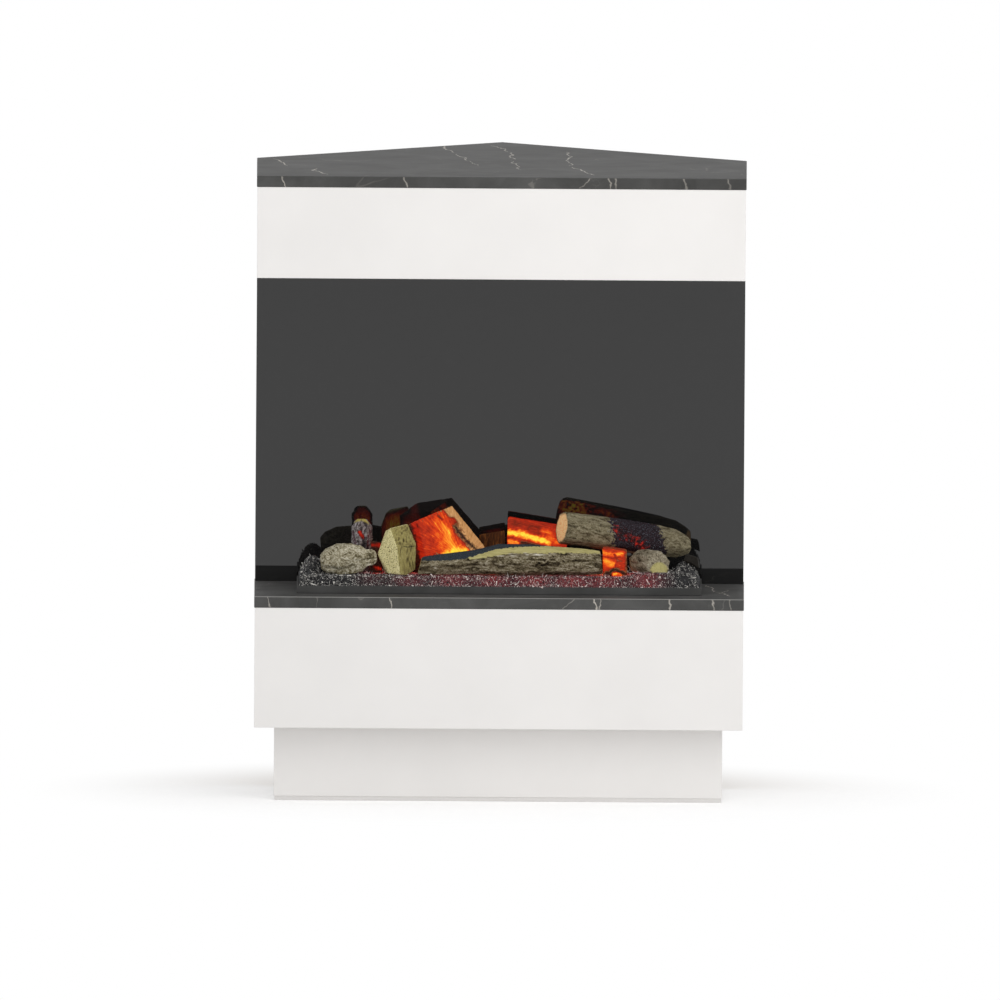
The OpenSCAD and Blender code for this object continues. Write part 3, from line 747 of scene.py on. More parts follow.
@dataclass(frozen=True)
class Spot:
    """A warm place in the log bed: [x, d, z] in mm as Site.at takes them, how far it reaches,
    how strong it is, and the direction its surface has to face, if any, at least so closely
    (the cosine)."""

    x: float
    d: float
    z: float
    reach: float
    level: float = 1.0
    facing: Optional[Point] = None
    least: float = 0.25

    def felt(self, place: Vector, normal: Vector) -> float:
        """How strongly the spot is felt on a surface.

        Args:
            place: the point, in mm of the log bed.
            normal: the surface's normal.
        Returns:
            0 to its level.
        """
        away = (place - Vector((self.x, self.d, self.z))).length
        felt = self.level * (1 - smooth(away / self.reach))
        if self.facing and felt > 0:
            aim = normal.dot(Vector(self.facing).normalized())
            felt *= smooth((aim - self.least) / (1 - self.least) * 2)
        return felt


def strongest(spots: Iterable[Spot], place: Vector, normal: Vector) -> float:
    """The strongest of some spots at a point in mm of the log bed, 0 to 1."""
    return min(1.0, max((s.felt(place, normal) for s in spots), default=0.0))


@dataclass(frozen=True)
class Stroke:
    """One stroke of paint on a side of a log.

    The path is (x, z) in mm as Site.at takes them, seen from the front. Reach is half its width,
    soft the share of that over which it fades. What is left at None stays as it was.
    """

    path: tuple[Pair, ...]
    reach: float
    soft: float = 0.5
    warmth: Optional[float] = None
    char: Optional[float] = None
    bark: Optional[float] = None
    facing: Point = (0.0, -1.0, 0.35)
    fray: float = 0.25

    def cover(self, place: Vector, normal: Vector) -> float:
        """How fully the stroke covers a point.

        Args:
            place: the point, in mm of the log bed.
            normal: the surface's normal.
        Returns:
            0 to 1.
        """
        aim = normal.dot(Vector(self.facing).normalized())
        if aim <= 0:
            return 0.0
        here = Vector((place.x, place.z))
        away = min(self._off(here, Vector(a), Vector(b)) for a, b in zip(self.path, self.path[1:]))
        away += self.fray * self.reach * noise.fractal(place / 5.0, 0.8, 2.0, 3)
        inner = self.reach * (1 - self.soft)
        return smooth(aim * 5) * (1 - smooth((away - inner) / max(0.01, self.reach - inner)))

    @staticmethod
    def _off(here: Vector, start: Vector, end: Vector) -> float:
        """Distance of a point from a straight piece of the path.

        Args:
            here: the point.
            start: where the piece starts.
            end: where it ends.
        Returns:
            The distance.
        """
        run = end - start
        share = min(1.0, max(0.0, (here - start).dot(run) / run.length_squared))
        return (here - start - run * share).length

    def paint(self, levels: Levels, place: Vector, normal: Vector) -> None:
        """Puts the stroke over what is there.

        Args:
            levels: bark, char and warmth, which are changed.
            place: the point, in mm of the log bed.
            normal: the surface's normal.
        """
        share = self.cover(place, normal)
        for name in ("warmth", "char", "bark"):
            wanted = getattr(self, name)
            if wanted is not None and share > 0:
                levels[name] += (wanted - levels[name]) * share


def toward(facing: Point, *strokes: Stroke) -> tuple[Stroke, ...]:
    """The same strokes on the side that looks in a direction."""
    return tuple(replace(stroke, facing=facing) for stroke in strokes)


# --------------------------------------------------------------------------- meshes


def shown(name: str, bm: bmesh.types.BMesh, finish: Finish) -> bpy.types.Object:
    """Turns a finished bmesh into an object in the scene.

    Args:
        name: the object's name.
        bm: the mesh, which is freed.
        finish: what it is made of.
    Returns:
        The object.
    """
    mesh = bpy.data.meshes.new(name)
    bm.to_mesh(mesh)
    bm.free()
    mesh.materials.append(finish.material())
    obj = bpy.data.objects.new(name, mesh)
    bpy.context.scene.collection.objects.link(obj)
    return obj


@dataclass(frozen=True)
class Part:
    """One node of the frame, what it is made of and how its sharp edges are eased: by how many
    mm, and in how many strips."""

    node: str
    slot: str
    finish: Finish
    ease: float = 0.5
    steps: int = 2
    merge: float = 4e-6  # metres
    flat: float = math.radians(0.6)
    curved: float = math.radians(1)
    sharp: float = math.radians(32)

    def build(self) -> bpy.types.Object:
        """Copies the node with its edges eased.

        Returns:
            The new object.
        """
        source = FRAME["nodes"][self.node].data.copy()
        for name in [a.name for a in source.attributes if a.name == "custom_normal"]:
            source.attributes.remove(source.attributes[name])
        bm = bmesh.new()
        bm.from_mesh(source)
        bpy.data.meshes.remove(source)
        bmesh.ops.remove_doubles(bm, verts=bm.verts, dist=self.merge)
        bmesh.ops.dissolve_limit(bm, angle_limit=self.flat, verts=bm.verts, edges=bm.edges)
        bmesh.ops.recalc_face_normals(bm, faces=bm.faces)
        curved = bm.faces.layers.int.new("curved")
        sharp = []
        for edge in (e for e in bm.edges if len(e.link_faces) == 2):
            angle = edge.calc_face_angle(0)
            if angle > self.sharp:
                sharp.append(edge)
            elif angle > self.curved:
                for face in edge.link_faces:
                    face[curved] = 1
        made = bmesh.ops.bevel(
            bm, geom=sharp, offset=self.ease * MM, offset_type="OFFSET", segments=self.steps,
            profile=0.5, affect="EDGES", clamp_overlap=True, material=-1,
        )
        eased = set(made["faces"])
        for face in bm.faces:
            face.smooth = face in eased or face[curved] == 1
        return shown(f"{self.node}.piece", bm, self.finish)


# --------------------------------------------------------------------------- palette


WHITE_LACQUER = Lacquer("white_lacquer")
WHITE_SEAL = Plastic("white_seal_foam", "#EAE8E6", "#E0DEDC", 0.7)
RAW_BOARD = RawBoard("raw_fibre_board")
BLACK_LACQUER = Lacquer("black_lacquer", "#1B1B1C", "#161617", 0.4)
BLACK_GLASS = Glass("black_glass")
BLACK_MOULDING = Plastic("black_moulding")
BLOCK_PLASTIC = Plastic("black_block_plastic", "#202021", "#171718", 0.6)
ZINC_SHEET = SheetMetal("zinc_plated_sheet")
STAINLESS = SheetMetal("stainless_steel", "#D6D6D8", "#C4C4C6", 0.22, spangle=2.0)
TANK_PLASTIC = Plastic("smoked_tank_plastic", "#8FA0A8", "#7C8D96", 0.2, clear=0.35)
CAP_PLASTIC = Plastic("blue_cap_plastic", "#2F5C94", "#264E80", 0.45)
ROCKER_PLASTIC = Plastic("red_rocker_plastic", "#B3221A", "#A01C15", 0.3)
BUTTON_PLASTIC = Plastic("light_button_plastic", "#DCDCDA", "#CECECC", 0.35)
HOUSING_COAT = PowderCoat("housing_powder_coat", "#3A3A3C", "#2E2E30")
TRAY_COAT = PowderCoat("tray_powder_coat", "#474746", "#373736")
LAMP_LENS = Lamp("lamp_lens")
GRAVEL = Gravel("ember_gravel")
BARK_RESIN = Resin(
    "bark_resin",
    bark=((0.14, "#100C09"), (0.3, "#383022"), (0.48, "#70664F"), (0.64, "#A49B84"),
          (0.78, "#EAE5D8")),
    wood=((0.2, "#6E6238"), (0.4, "#A9A068"), (0.6, "#C2B980"), (0.8, "#D6CE98")),
    charred=((0.25, "#1C2024"), (0.5, "#30363C"), (0.68, "#444B53"), (0.8, "#8D9296")),
)
SAWN_BARK_RESIN = Resin(
    "sawn_bark_resin",
    bark=((0.1, "#2A251C"), (0.3, "#544C3A"), (0.5, "#7C745C"), (0.7, "#9C947C"),
          (0.88, "#D8D2C0")),
    wood=((0.2, "#9A6838"), (0.36, "#F0BC7E"), (0.56, "#FFD8A0"), (0.8, "#FFE4B8")),
    charred=((0.32, "#060608"), (0.45, "#151418"), (0.51, "#3C2A30"), (0.56, "#1A1619"),
             (0.64, "#5E6670"), (0.74, "#B4BCC6")),
    pits=0.4, streaks=0.1, blotches=0.9, through=0.2,
)
KNOT_RESIN = Resin(
    "knot_resin",
    bark=((0.1, "#221D15"), (0.3, "#605841"), (0.48, "#9C947A"), (0.66, "#D8D2BE"),
          (0.84, "#FFFEF4")),
)
STUB_RESIN = Resin(
    "stub_resin",
    bark=((0.12, "#141012"), (0.32, "#3E3638"), (0.5, "#746C6A"), (0.66, "#AEA8AA"),
          (0.82, "#F4F0F4")),
    wood=((0.2, "#6E6228"), (0.5, "#B4A452"), (0.75, "#D2C67C")),
    charred=((0.3, "#160F12"), (0.46, "#3A2630"), (0.58, "#6A5260"), (0.72, "#BCB4C0")),
)
SPLIT_RESIN = Resin(
    "split_resin",
    # its bark coat is darker olive and covers only the pale block's facet that faces right: painted
    # shade
    bark=((0.1, "#3E3820"), (0.35, "#80744A"), (0.6, "#9A9058"), (0.9, "#B8AE7C")),
    wood=((0.1, "#4E4424"), (0.3, "#C2B678"), (0.46, "#E6DCA2"), (0.8, "#F4ECC4")),
    pits=0.55, fibre=1.2,
)
GLOW_RESIN = Resin(
    "glow_resin",
    bark=((0.2, "#12100F"), (0.5, "#24221F"), (0.8, "#3A3733"), (0.95, "#5A554D")),
    wood=((0.25, "#A8703C"), (0.5, "#DCA468"), (0.75, "#F4C48C")),
    charred=((0.3, "#1E1512"), (0.5, "#38261F"), (0.66, "#5A4031"), (0.8, "#8A6E58")),
    streaks=0.13, blotches=0.1, hair=0.35, through=0.16,
)
END_RESIN = replace(
    BARK_RESIN,
    name="end_resin",
    bark=((0.12, "#1E1812"), (0.3, "#4E4538"), (0.5, "#867D69"), (0.68, "#B2AA96"),
          (0.84, "#E6E0D2")),
)
CHAR_RESIN = Resin(
    "char_resin",
    bark=((0.2, "#1C120C"), (0.5, "#3A2416"), (0.75, "#6A4424"), (0.95, "#8A6238")),
    wood=((0.3, "#1A0F0A"), (0.5, "#4A2A16"), (0.7, "#8A5424"), (0.85, "#A8702E")),
    fibre=4.0,
)


def board_veins(
    top: float, lines: Iterable[tuple[Pair, Pair]], edge: Iterable[tuple[float, ...]]
) -> tuple[Vein, ...]:
    """The veins of a marble board, as they run in the photo.

    Args:
        top: the level of its top face, in mm.
        lines: two points on its top face, each (mm to the right, mm behind the front edge).
        edge: lines on its front edge, each (x at its foot, x at its head, width, strength).
    Returns:
        The veins.
    """
    front, thick, shift = -397.0, 18.0, 4.0  # the noise that frays the edge lines pulls them left
    across = [Vein((x0, d0 + front, top), (x1, d1 + front, top)) for (x0, d0), (x1, d1) in lines]
    return tuple(across) + tuple(
        Vein((low + shift, front, top - thick), (high + shift, front, top), width, strength, False)
        for low, high, width, strength in edge
    )


# the top board's painted highlight on its chamfer is only a little paler than its ground
TOP_MARBLE = Marble("dark_marble_top", chamfer_highlight="#5C5C5B", veins=board_veins(
    1000,
    (
        ((-368, 408), (-336, 219)), ((-300, 186), (-281, 30)), ((-94, 721), (-79, 540)),
        ((-79, 540), (-32, 232)), ((-22, 728), (13, 571)), ((13, 571), (16, 391)),
        ((16, 391), (29, 165)), ((104, 595), (108, 257)), ((108, 257), (148, 50)),
    ),
    (
        (-342, -350, 1.3, 0.7), (-148, -156, 1.5, 0.8), (124, 143, 1.3, 0.5),
        (175, 170, 2.0, 0.75), (181, 181, 2.2, 0.6), (294, 290, 2.2, 0.85), (364, 359, 2.2, 0.65),
    ),
))
HEARTH_MARBLE = Marble("dark_marble_hearth", veins=board_veins(
    330,
    (
        ((328, 324), (346, 167)), ((346, 167), (370, 77)), ((351, 115), (369, 228)),
        ((-389, 190), (-378, 196)),
    ),
    (
        (-364, -367, 1.2, 0.6), (-289, -288, 1.0, 0.35), (-169, -173, 1.4, 0.7),
        (100, 122, 1.2, 0.3), (156, 151, 2.0, 0.8), (160, 162, 1.6, 0.5), (273, 270, 2.2, 0.75),
        (343, 339, 2.0, 0.65), (370, 366, 1.2, 0.5),
    ),
))


# --------------------------------------------------------------------------- cabinet and insert


@dataclass
class SubAssembly:
    """Pieces that follow the solid model closely and ride on one of its bodies."""

    parts: tuple[Part, ...]
    body: str = "cabinet"

    def build(self) -> None:
        """Makes every part."""
        for part in self.parts:
            obj = part.build()
            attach(obj, self.body)
            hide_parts(part.node)


def white_boards(*nodes: str) -> tuple[Part, ...]:
    """White lacquered boards with a soft sprayed edge."""
    return tuple(Part(n, "white_board", WHITE_LACQUER, 0.7, 3) for n in nodes)


def wall_boards(*nodes: str) -> tuple[Part, ...]:
    """Raw boards with sawn edges."""
    return tuple(Part(n, "wall_board", RAW_BOARD, 0.3, 1) for n in nodes)


@dataclass
class Plinth(SubAssembly):
    """The set-back plinth on its floor seal."""

    parts: tuple[Part, ...] = (
        Part("plinth_seal", "floor_seal", WHITE_SEAL, 0.4),
        *white_boards("plinth_front", "plinth_left", "plinth_right"),
        *wall_boards("plinth_rear_left", "plinth_rear_right"),
        Part("plinth_blocks", "assembly_block", BLOCK_PLASTIC, 0.8),
    )


@dataclass
class LowerBox(SubAssembly):
    """The white box under the hearth, with the marble hearth board on it."""

    parts: tuple[Part, ...] = (
        *white_boards("lower_floor", "lower_front", "lower_left", "lower_right"),
        *wall_boards("lower_rear_left", "lower_rear_right"),
        Part("lower_blocks", "assembly_block", BLOCK_PLASTIC, 0.8),
        Part("cable_gland", "black_moulding", BLACK_MOULDING, 0.4),
        Part("hearth_slab", "marble_board", HEARTH_MARBLE, 0.4),
    )


@dataclass
class Column(SubAssembly):
    """The black glass and the boards beside and behind it."""

    parts: tuple[Part, ...] = (
        Part("column_left", "black_board", BLACK_LACQUER, 0.7),
        Part("column_right", "black_board", BLACK_LACQUER, 0.7),
        Part("back_glass", "black_glass", BLACK_GLASS),
        *wall_boards("glass_backer", "column_rear_left", "column_rear_right", "corner_post"),
    )


@dataclass
class UpperBox(SubAssembly):
    """The white band over the firebox, with the marble top board on it."""

    parts: tuple[Part, ...] = (
        *white_boards("upper_floor", "upper_front", "upper_left", "upper_right"),
        *wall_boards("upper_rear_left", "upper_rear_right"),
        Part("upper_blocks", "assembly_block", BLOCK_PLASTIC, 0.8),
        Part("top_slab", "marble_board", TOP_MARBLE, 0.4),
    )


@dataclass
class Insert(SubAssembly):
    """The mist maker in its steel case."""

    parts: tuple[Part, ...] = (
        Part("chassis", "case_steel", ZINC_SHEET, 0.3),
        Part("sump", "black_moulding", BLACK_MOULDING, 0.6),
        Part("transducer_unit", "disc_steel", STAINLESS, 0.3),
        Part("mist_nozzle", "black_moulding", BLACK_MOULDING, 0.4),
        Part("feed_tube", "black_moulding", BLACK_MOULDING, 0.3),
        Part("fan_housing", "black_moulding", BLACK_MOULDING, 0.4),
        Part("lamp_bar", "case_steel", ZINC_SHEET, 0.3),
        Part("lamps", "lamp_lens", LAMP_LENS, 0.4),
        Part("control_box", "control_housing", HOUSING_COAT, 0.8),
    )


def loose_parts() -> list[SubAssembly]:
    """The pieces of the insert that move, each on its own body.

    Returns:
        The pieces.
    """
    moving = {
        "tank": Part("water_tank", "tank_plastic", TANK_PLASTIC, 1.2, 3),
        "cap": Part("tank_cap", "cap_plastic", CAP_PLASTIC, 0.8, 3),
        "fan": Part("fan_rotor", "black_moulding", BLACK_MOULDING, 0.2),
        "rocker": Part("power_rocker", "rocker_plastic", ROCKER_PLASTIC, 0.4),
        "up_button": Part("button_up", "button_plastic", BUTTON_PLASTIC, 0.3),
        "down_button": Part("button_down", "button_plastic", BUTTON_PLASTIC, 0.3),
    }
    return [SubAssembly((part,), body) for body, part in moving.items()]


# --------------------------------------------------------------------------- log bed


class Painted:
    """A bmesh with the layers that a resin finish reads."""

    def __init__(self) -> None:
        """Starts an empty one."""
        self.bm = bmesh.new()
        layers = self.bm.verts.layers
        self.layers = {name: layers.float.new(name) for name in PAINT_LAYERS}
        self.grain = layers.float_vector.new("grain")

    def set(self, vert: bmesh.types.BMVert, grain: Vector, levels: Levels) -> None:
        """Sets the layers of one vertex.

        Args:
            vert: the vertex.
            grain: its place along and across the wood, in metres.
            levels: relief, bark, char and warmth, 0 to 1.
        """
        vert[self.grain] = grain
        for name, level in levels.items():
            vert[self.layers[name]] = level

    def place(self, node: str, slot: str, finish: Finish) -> bpy.types.Object:
        """Finishes the mesh as a piece of the log bed.

        Args:
            node: the node it stands for.
            slot: not used.
            finish: what it is made of.
        Returns:
            The object.
        """
        bmesh.ops.recalc_face_normals(self.bm, faces=self.bm.faces)
        for face in self.bm.faces:
            face.smooth = True
        obj = shown(f"{node}.piece", self.bm, finish)
        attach(obj, BED_BODY)
        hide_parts(node)
        return obj


class Coat(Enum):
    """What covers a side of a split block."""

    BARK = "bark"
    WOOD = "wood"
    CHAR = "char"


@dataclass
class Cast:
    """A cast piece of the log bed, and the glow and paint on it."""

    node: str
    slot: str
    finish: Finish
    seed: int = field(default=1, kw_only=True)
    embers: tuple[Spot, ...] = field(default=(), kw_only=True)
    strokes: tuple[Stroke, ...] = field(default=(), kw_only=True)

    def painted(self, levels: Levels, place: Vector, normal: Vector) -> Levels:
        """Puts the glow and the strokes over the base coat.

        Args:
            levels: the base coat, which is changed.
            place: the point, in mm of the log bed.
            normal: the surface's normal.
        Returns:
            The finished coat.
        """
        levels["warmth"] = strongest(self.embers, place, normal)
        for stroke in self.strokes:
            stroke.paint(levels, place, normal)
        return levels


@dataclass
class RoundLog(Cast):
    """A cast log along its own X, laid in the bed as in the solid model.

    The girth is a list of (share of length, radius). Splits are flat faces, each (angle,
    distance), seat is how far below the axis it is cut flat, lean slants the two ends and bow
    is (share of length, how far its middle lies over the axis). Angle 0 looks back, 90 up and
    180 to the front. Bark has plates and cracks of these sizes, furrows and knobs of these depths,
    and runs along the log, or out from the whorl (along, up). On an end the wood shows round the
    seat as far as heart, with the bark standing over it.
    """

    start: Point
    yaw: float
    dip: float
    length: float
    girth: tuple[Pair, ...]
    splits: tuple[Pair, ...] = ()
    seat: float = 999.0
    ridge_h: float = 1.6
    lean: Pair = (0.0, 0.0)
    bow: tuple[Pair, ...] = ((0.0, 0.0),)
    furrow: float = 1.5
    plate: float = 7.5
    crack: float = 2.3
    curl: float = 0.8
    knobs: float = 0.0
    whorl: Optional[Pair] = None
    heart: Optional[float] = None
    step: float = 1.15
    cap_rings: int = 9
    wear: Pair = (1.3, 3.0)  # how much the bark is worn at its ends, and how far in
    cut: float = 0.25  # what a flat takes off before its wood shows
    grazing: float = 0.05  # the least cosine at which a flat cuts
    rim: Pair = (0.86, 0.1)  # where bark starts on an end, of its radius, and over how much
    crest: float = 1.6  # how far the bark stands over the wood on an end

    def ridge(self, angle: float, share: float) -> float:
        """Long bark ridges, from -1 to 1.

        Args:
            angle: round the log, in degrees.
            share: along the log.
        Returns:
            The height.
        """
        s = self.seed
        return (
            0.5 * math.sin(math.radians(6 * angle + 77 * s + 150 * share))
            + 0.3 * math.sin(math.radians(11 * angle - 45 * s - 210 * share))
            + 0.2 * math.sin(math.radians(3 * angle + 400 * share + 19 * s))
        )

    def radius(self, angle: float, share: float) -> tuple[float, bool]:
        """Radius at a point of the log's side.

        Args:
            angle: round the log, in degrees.
            share: along the log.
        Returns:
            The radius in mm, and whether it is cut by a split or the seat.
        """
        raw = lookup(self.girth, share) + self.ridge_h * self.ridge(angle, share)
        r = raw
        for facing, away in self.splits:
            c = math.cos(math.radians(angle - facing))
            if c > self.grazing:
                r = min(r, away / c)
        s = math.sin(math.radians(angle))
        if s < -self.grazing:
            r = min(r, (self.seat + lookup(self.bow, share)) / -s)
        return r, raw - r > self.cut

    def build(self, site: Site) -> None:
        """Builds the log and puts it in the bed.

        Args:
            site: where the bed is.
        """
        around = int(2 * math.pi * max(r for _, r in self.girth) / self.step)
        along = int(self.length / self.step)
        rows = along + 2 * self.cap_rings
        work = Painted()
        bmesh.ops.create_grid(work.bm, x_segments=rows, y_segments=around, size=0.5)
        yaw, dip = math.radians(self.yaw), math.radians(self.dip)
        turn = Matrix.Rotation(yaw, 4, "Z") @ Matrix.Rotation(dip, 4, "Y")
        for vert in work.bm.verts:
            angle = (vert.co.y + 0.5) * 360
            point, end, levels = self._vertex((vert.co.x + 0.5) * rows, angle, along)
            a = math.radians(angle)
            place = turn @ point + Vector(self.start)
            outward = turn @ Vector((end, 0, 0) if end else (0, math.cos(a), math.sin(a)))
            grain = (point + Vector((self.seed * 113.0, 0, 0))) * MM
            work.set(vert, grain, self.painted(levels, place, outward))
            vert.co = site.at(*place)
        bmesh.ops.remove_doubles(work.bm, verts=work.bm.verts, dist=2e-6)
        work.place(self.node, self.slot, self.finish)

    def _bark(self, flat: Vector, seeded: Vector) -> float:
        """Height of the bark's plates and cracks.

        Args:
            flat: the place on the smooth log.
            seeded: the same, moved by the seed.
        Returns:
            0 in a furrow to 1 on a ridge.
        """
        if self.whorl:
            ray = Vector((flat.x - self.whorl[0], flat.z - self.whorl[1]))
            curled = Vector((ray.length, 16 * math.atan2(ray.y, ray.x), flat.y * 0.5))
            curled += self.curl * 2.0 * noise.noise_vector(seeded / 6.0)
        else:
            curled = seeded + self.curl * 4.0 * noise.noise_vector(seeded / 8.0)
        long_way = Vector((curled.x * 0.16, curled.y, curled.z)) / self.plate
        short_way = Vector((curled.x * 0.4, curled.y, curled.z)) / self.crack
        plates = noise.ridged_multi_fractal(long_way, 0.9, 2.1, 3, 1.0, 2.0) / 2.2
        cracks = noise.ridged_multi_fractal(short_way, 0.9, 2.0, 2, 1.0, 2.0) / 2.0
        return min(1.0, max(0.0, 0.55 * plates + 0.45 * cracks))

    def _vertex(self, row: float, angle: float, along: int) -> tuple[Vector, int, Levels]:
        """Place and base coat of one grid point of the log.

        Args:
            row: which ring, counted from the middle of the first end.
            angle: round the log, in degrees.
            along: how many rings the side has.
        Returns:
            Its place in the log's own mm, -1 or 1 on an end and 0 on the side, and its levels.
        """
        rings = self.cap_rings
        end = int(row > along + rings) - int(row < rings)
        share = min(1.0, max(0.0, (row - rings) / along))
        shrink = max(0.0, min(1.0, row / rings, (along + 2 * rings - row) / rings))
        r, is_cut = self.radius(angle, share)
        c, s = math.cos(math.radians(angle)), math.sin(math.radians(angle))
        flat = Vector((share * self.length, shrink * r * c, shrink * r * s))
        seeded = flat + Vector((self.seed * 91.0, self.seed * 37.0, 0))
        relief, bark = self._bark(flat, seeded), 0.0 if is_cut else 1.0
        depth, reach = self.wear
        worn = depth * (1 - smooth(min(share, 1 - share) * self.length / reach))
        if is_cut:
            fibres = noise.fractal(Vector((seeded.x * 0.1, seeded.y, seeded.z)) / 2.0, 0.8, 2.0, 3)
            r -= 0.35 + 0.3 * fibres + worn * 0.4
            relief = 0.5 + 0.5 * fibres
        else:
            fine = 0.25 * abs(noise.fractal(seeded / 2.2, 0.8, 2.0, 3))
            bumps = self.knobs * abs(noise.fractal(seeded / 13.0, 0.9, 2.0, 2))
            r -= self.furrow * (1 - relief) + fine + worn + bumps
        y, z = shrink * r * c, shrink * r * s + lookup(self.bow, share)
        x = share * self.length + z * (self.lean[0] * (1 - share) + self.lean[1] * share)
        if end:
            rough = 0.5 * noise.fractal(Vector((z, y, self.seed * 9.0)) / 5.0, 0.9, 2.0, 3)
            sunk = (0.5 + rough) * (1 - shrink)
            bark *= smooth((shrink - self.rim[0]) / self.rim[1])
            if self.heart:
                arch = smooth((math.hypot(y, z + self.seat) - self.heart) / self.crest)
                sunk += self.crest * (1 - arch)
                bark = max(bark, arch)
                # a pale ring on the rim of the bark over the wood: partly dry brushing, partly
                # painted highlight
                relief = max(relief, 3.6 * arch * (1 - arch))
            x -= sunk * end
        return Vector((x, y, z)), end, {"relief": relief, "bark": bark, "char": 0.0}


@dataclass
class SplitBlock(Cast):
    """A cast split log: the hull of small rounded corners, [x, d, z] in mm over the bed.

    Sides says what covers the faces that look in a direction, the rest has the block's own coat.
    The fibres run along the axis, or out from the flare.
    """

    corners: tuple[Point, ...]
    axis: Point
    coat: Coat = Coat.WOOD
    sides: tuple[tuple[Point, Coat], ...] = ()
    radius: float = 2.0
    settle: float = 0.0
    cell: float = 1.2
    rough: float = 0.9
    flare: Optional[Point] = None
    fan: float = 45.0  # how far apart the fibres of a flare run, in mm a radian
    fibre: float = 3.4  # how wide a fibre is
    scorched: float = 1.7  # how much rougher charred sides are
    alike: float = 0.72  # the least cosine at which a face belongs to a side

    def _hull(self) -> bpy.types.Mesh:
        """Makes the rounded hull with an even mesh.

        Returns:
            The mesh, in mm of the log bed.
        """
        bm = bmesh.new()
        for x, d, z in self.corners:
            centre = Matrix.Translation((x, d, max(self.radius, z) - self.settle))
            bmesh.ops.create_icosphere(bm, subdivisions=2, radius=self.radius, matrix=centre)
        made = bmesh.ops.convex_hull(bm, input=bm.verts)
        for group in ("geom_interior", "geom_unused"):
            loose = [g for g in made[group] if g.is_valid and isinstance(g, bmesh.types.BMVert)]
            bmesh.ops.delete(bm, geom=loose, context="VERTS")
        outer = set(made["geom"])
        old = [f for f in bm.faces if f not in outer]
        bmesh.ops.delete(bm, geom=old, context="FACES_ONLY")
        bmesh.ops.recalc_face_normals(bm, faces=bm.faces)
        mesh = bpy.data.meshes.new("hull")
        bm.to_mesh(mesh)
        bm.free()
        obj = bpy.data.objects.new("hull", mesh)
        bpy.context.scene.collection.objects.link(obj)
        even = obj.modifiers.new("even", "REMESH")
        even.mode = "VOXEL"
        even.voxel_size = self.cell
        graph = bpy.context.evaluated_depsgraph_get()
        result = bpy.data.meshes.new_from_object(obj.evaluated_get(graph))
        bpy.data.objects.remove(obj)
        bpy.data.meshes.remove(mesh)
        return result

    def _coat_at(self, normal: Vector) -> Coat:
        """Which coat covers a face.

        Args:
            normal: the face's normal.
        Returns:
            The coat.
        """
        best, found = self.alike, self.coat
        for facing, coat in self.sides:
            dot = normal.dot(Vector(facing).normalized())
            if dot > best:
                best, found = dot, coat
        return found

    def paint(self, site: Site, work: Painted) -> None:
        """Adds the block to a painted mesh.

        Args:
            site: where the bed is.
            work: the mesh.
        """
        hull = self._hull()
        first = len(work.bm.verts)
        work.bm.from_mesh(hull)
        bpy.data.meshes.remove(hull)
        work.bm.verts.ensure_lookup_table()
        work.bm.normal_update()
        axis = Vector(self.axis).normalized()
        side = axis.orthogonal().normalized()
        other = axis.cross(side)
        shift = Vector((self.seed * 57.0, self.seed * 23.0, 0))
        for vert in work.bm.verts[first:]:
            place, normal = vert.co.copy(), vert.normal.copy()
            own = Vector((place.dot(axis), place.dot(side), place.dot(other))) + shift
            if self.flare:
                ray = place - Vector(self.flare)
                own = Vector((ray.length, self.fan * math.atan2(ray.z, ray.x), 0.0)) + shift
            coat = self._coat_at(normal)
            drawn = Vector((own.x * 0.12, own.y, own.z)) / self.fibre
            fibres = noise.ridged_multi_fractal(drawn, 0.9, 2.0, 4, 1.0, 2.0) / 2.3
            relief = min(1.0, max(0.0, fibres))
            lumps = max(0.0, noise.fractal(own / 9.0, 0.9, 2.0, 3))
            depth = self.rough * (self.scorched if coat is Coat.CHAR else 1.0)
            place -= normal * depth * (0.25 + 0.75 * (1 - relief) + 0.5 * lumps)
            levels = {
                "relief": relief,
                "bark": float(coat is not Coat.WOOD),
                "char": float(coat is Coat.CHAR),
            }
            work.set(vert, own * MM, self.painted(levels, place, normal))
            vert.co = site.at(*place)


@dataclass(frozen=True)
class Grain:
    """One kind of loose granule: how many there are, their smallest and largest size in mm, how
    slender they are, and the share that is pale."""

    count: int
    size: Pair
    slender: float
    pale: float


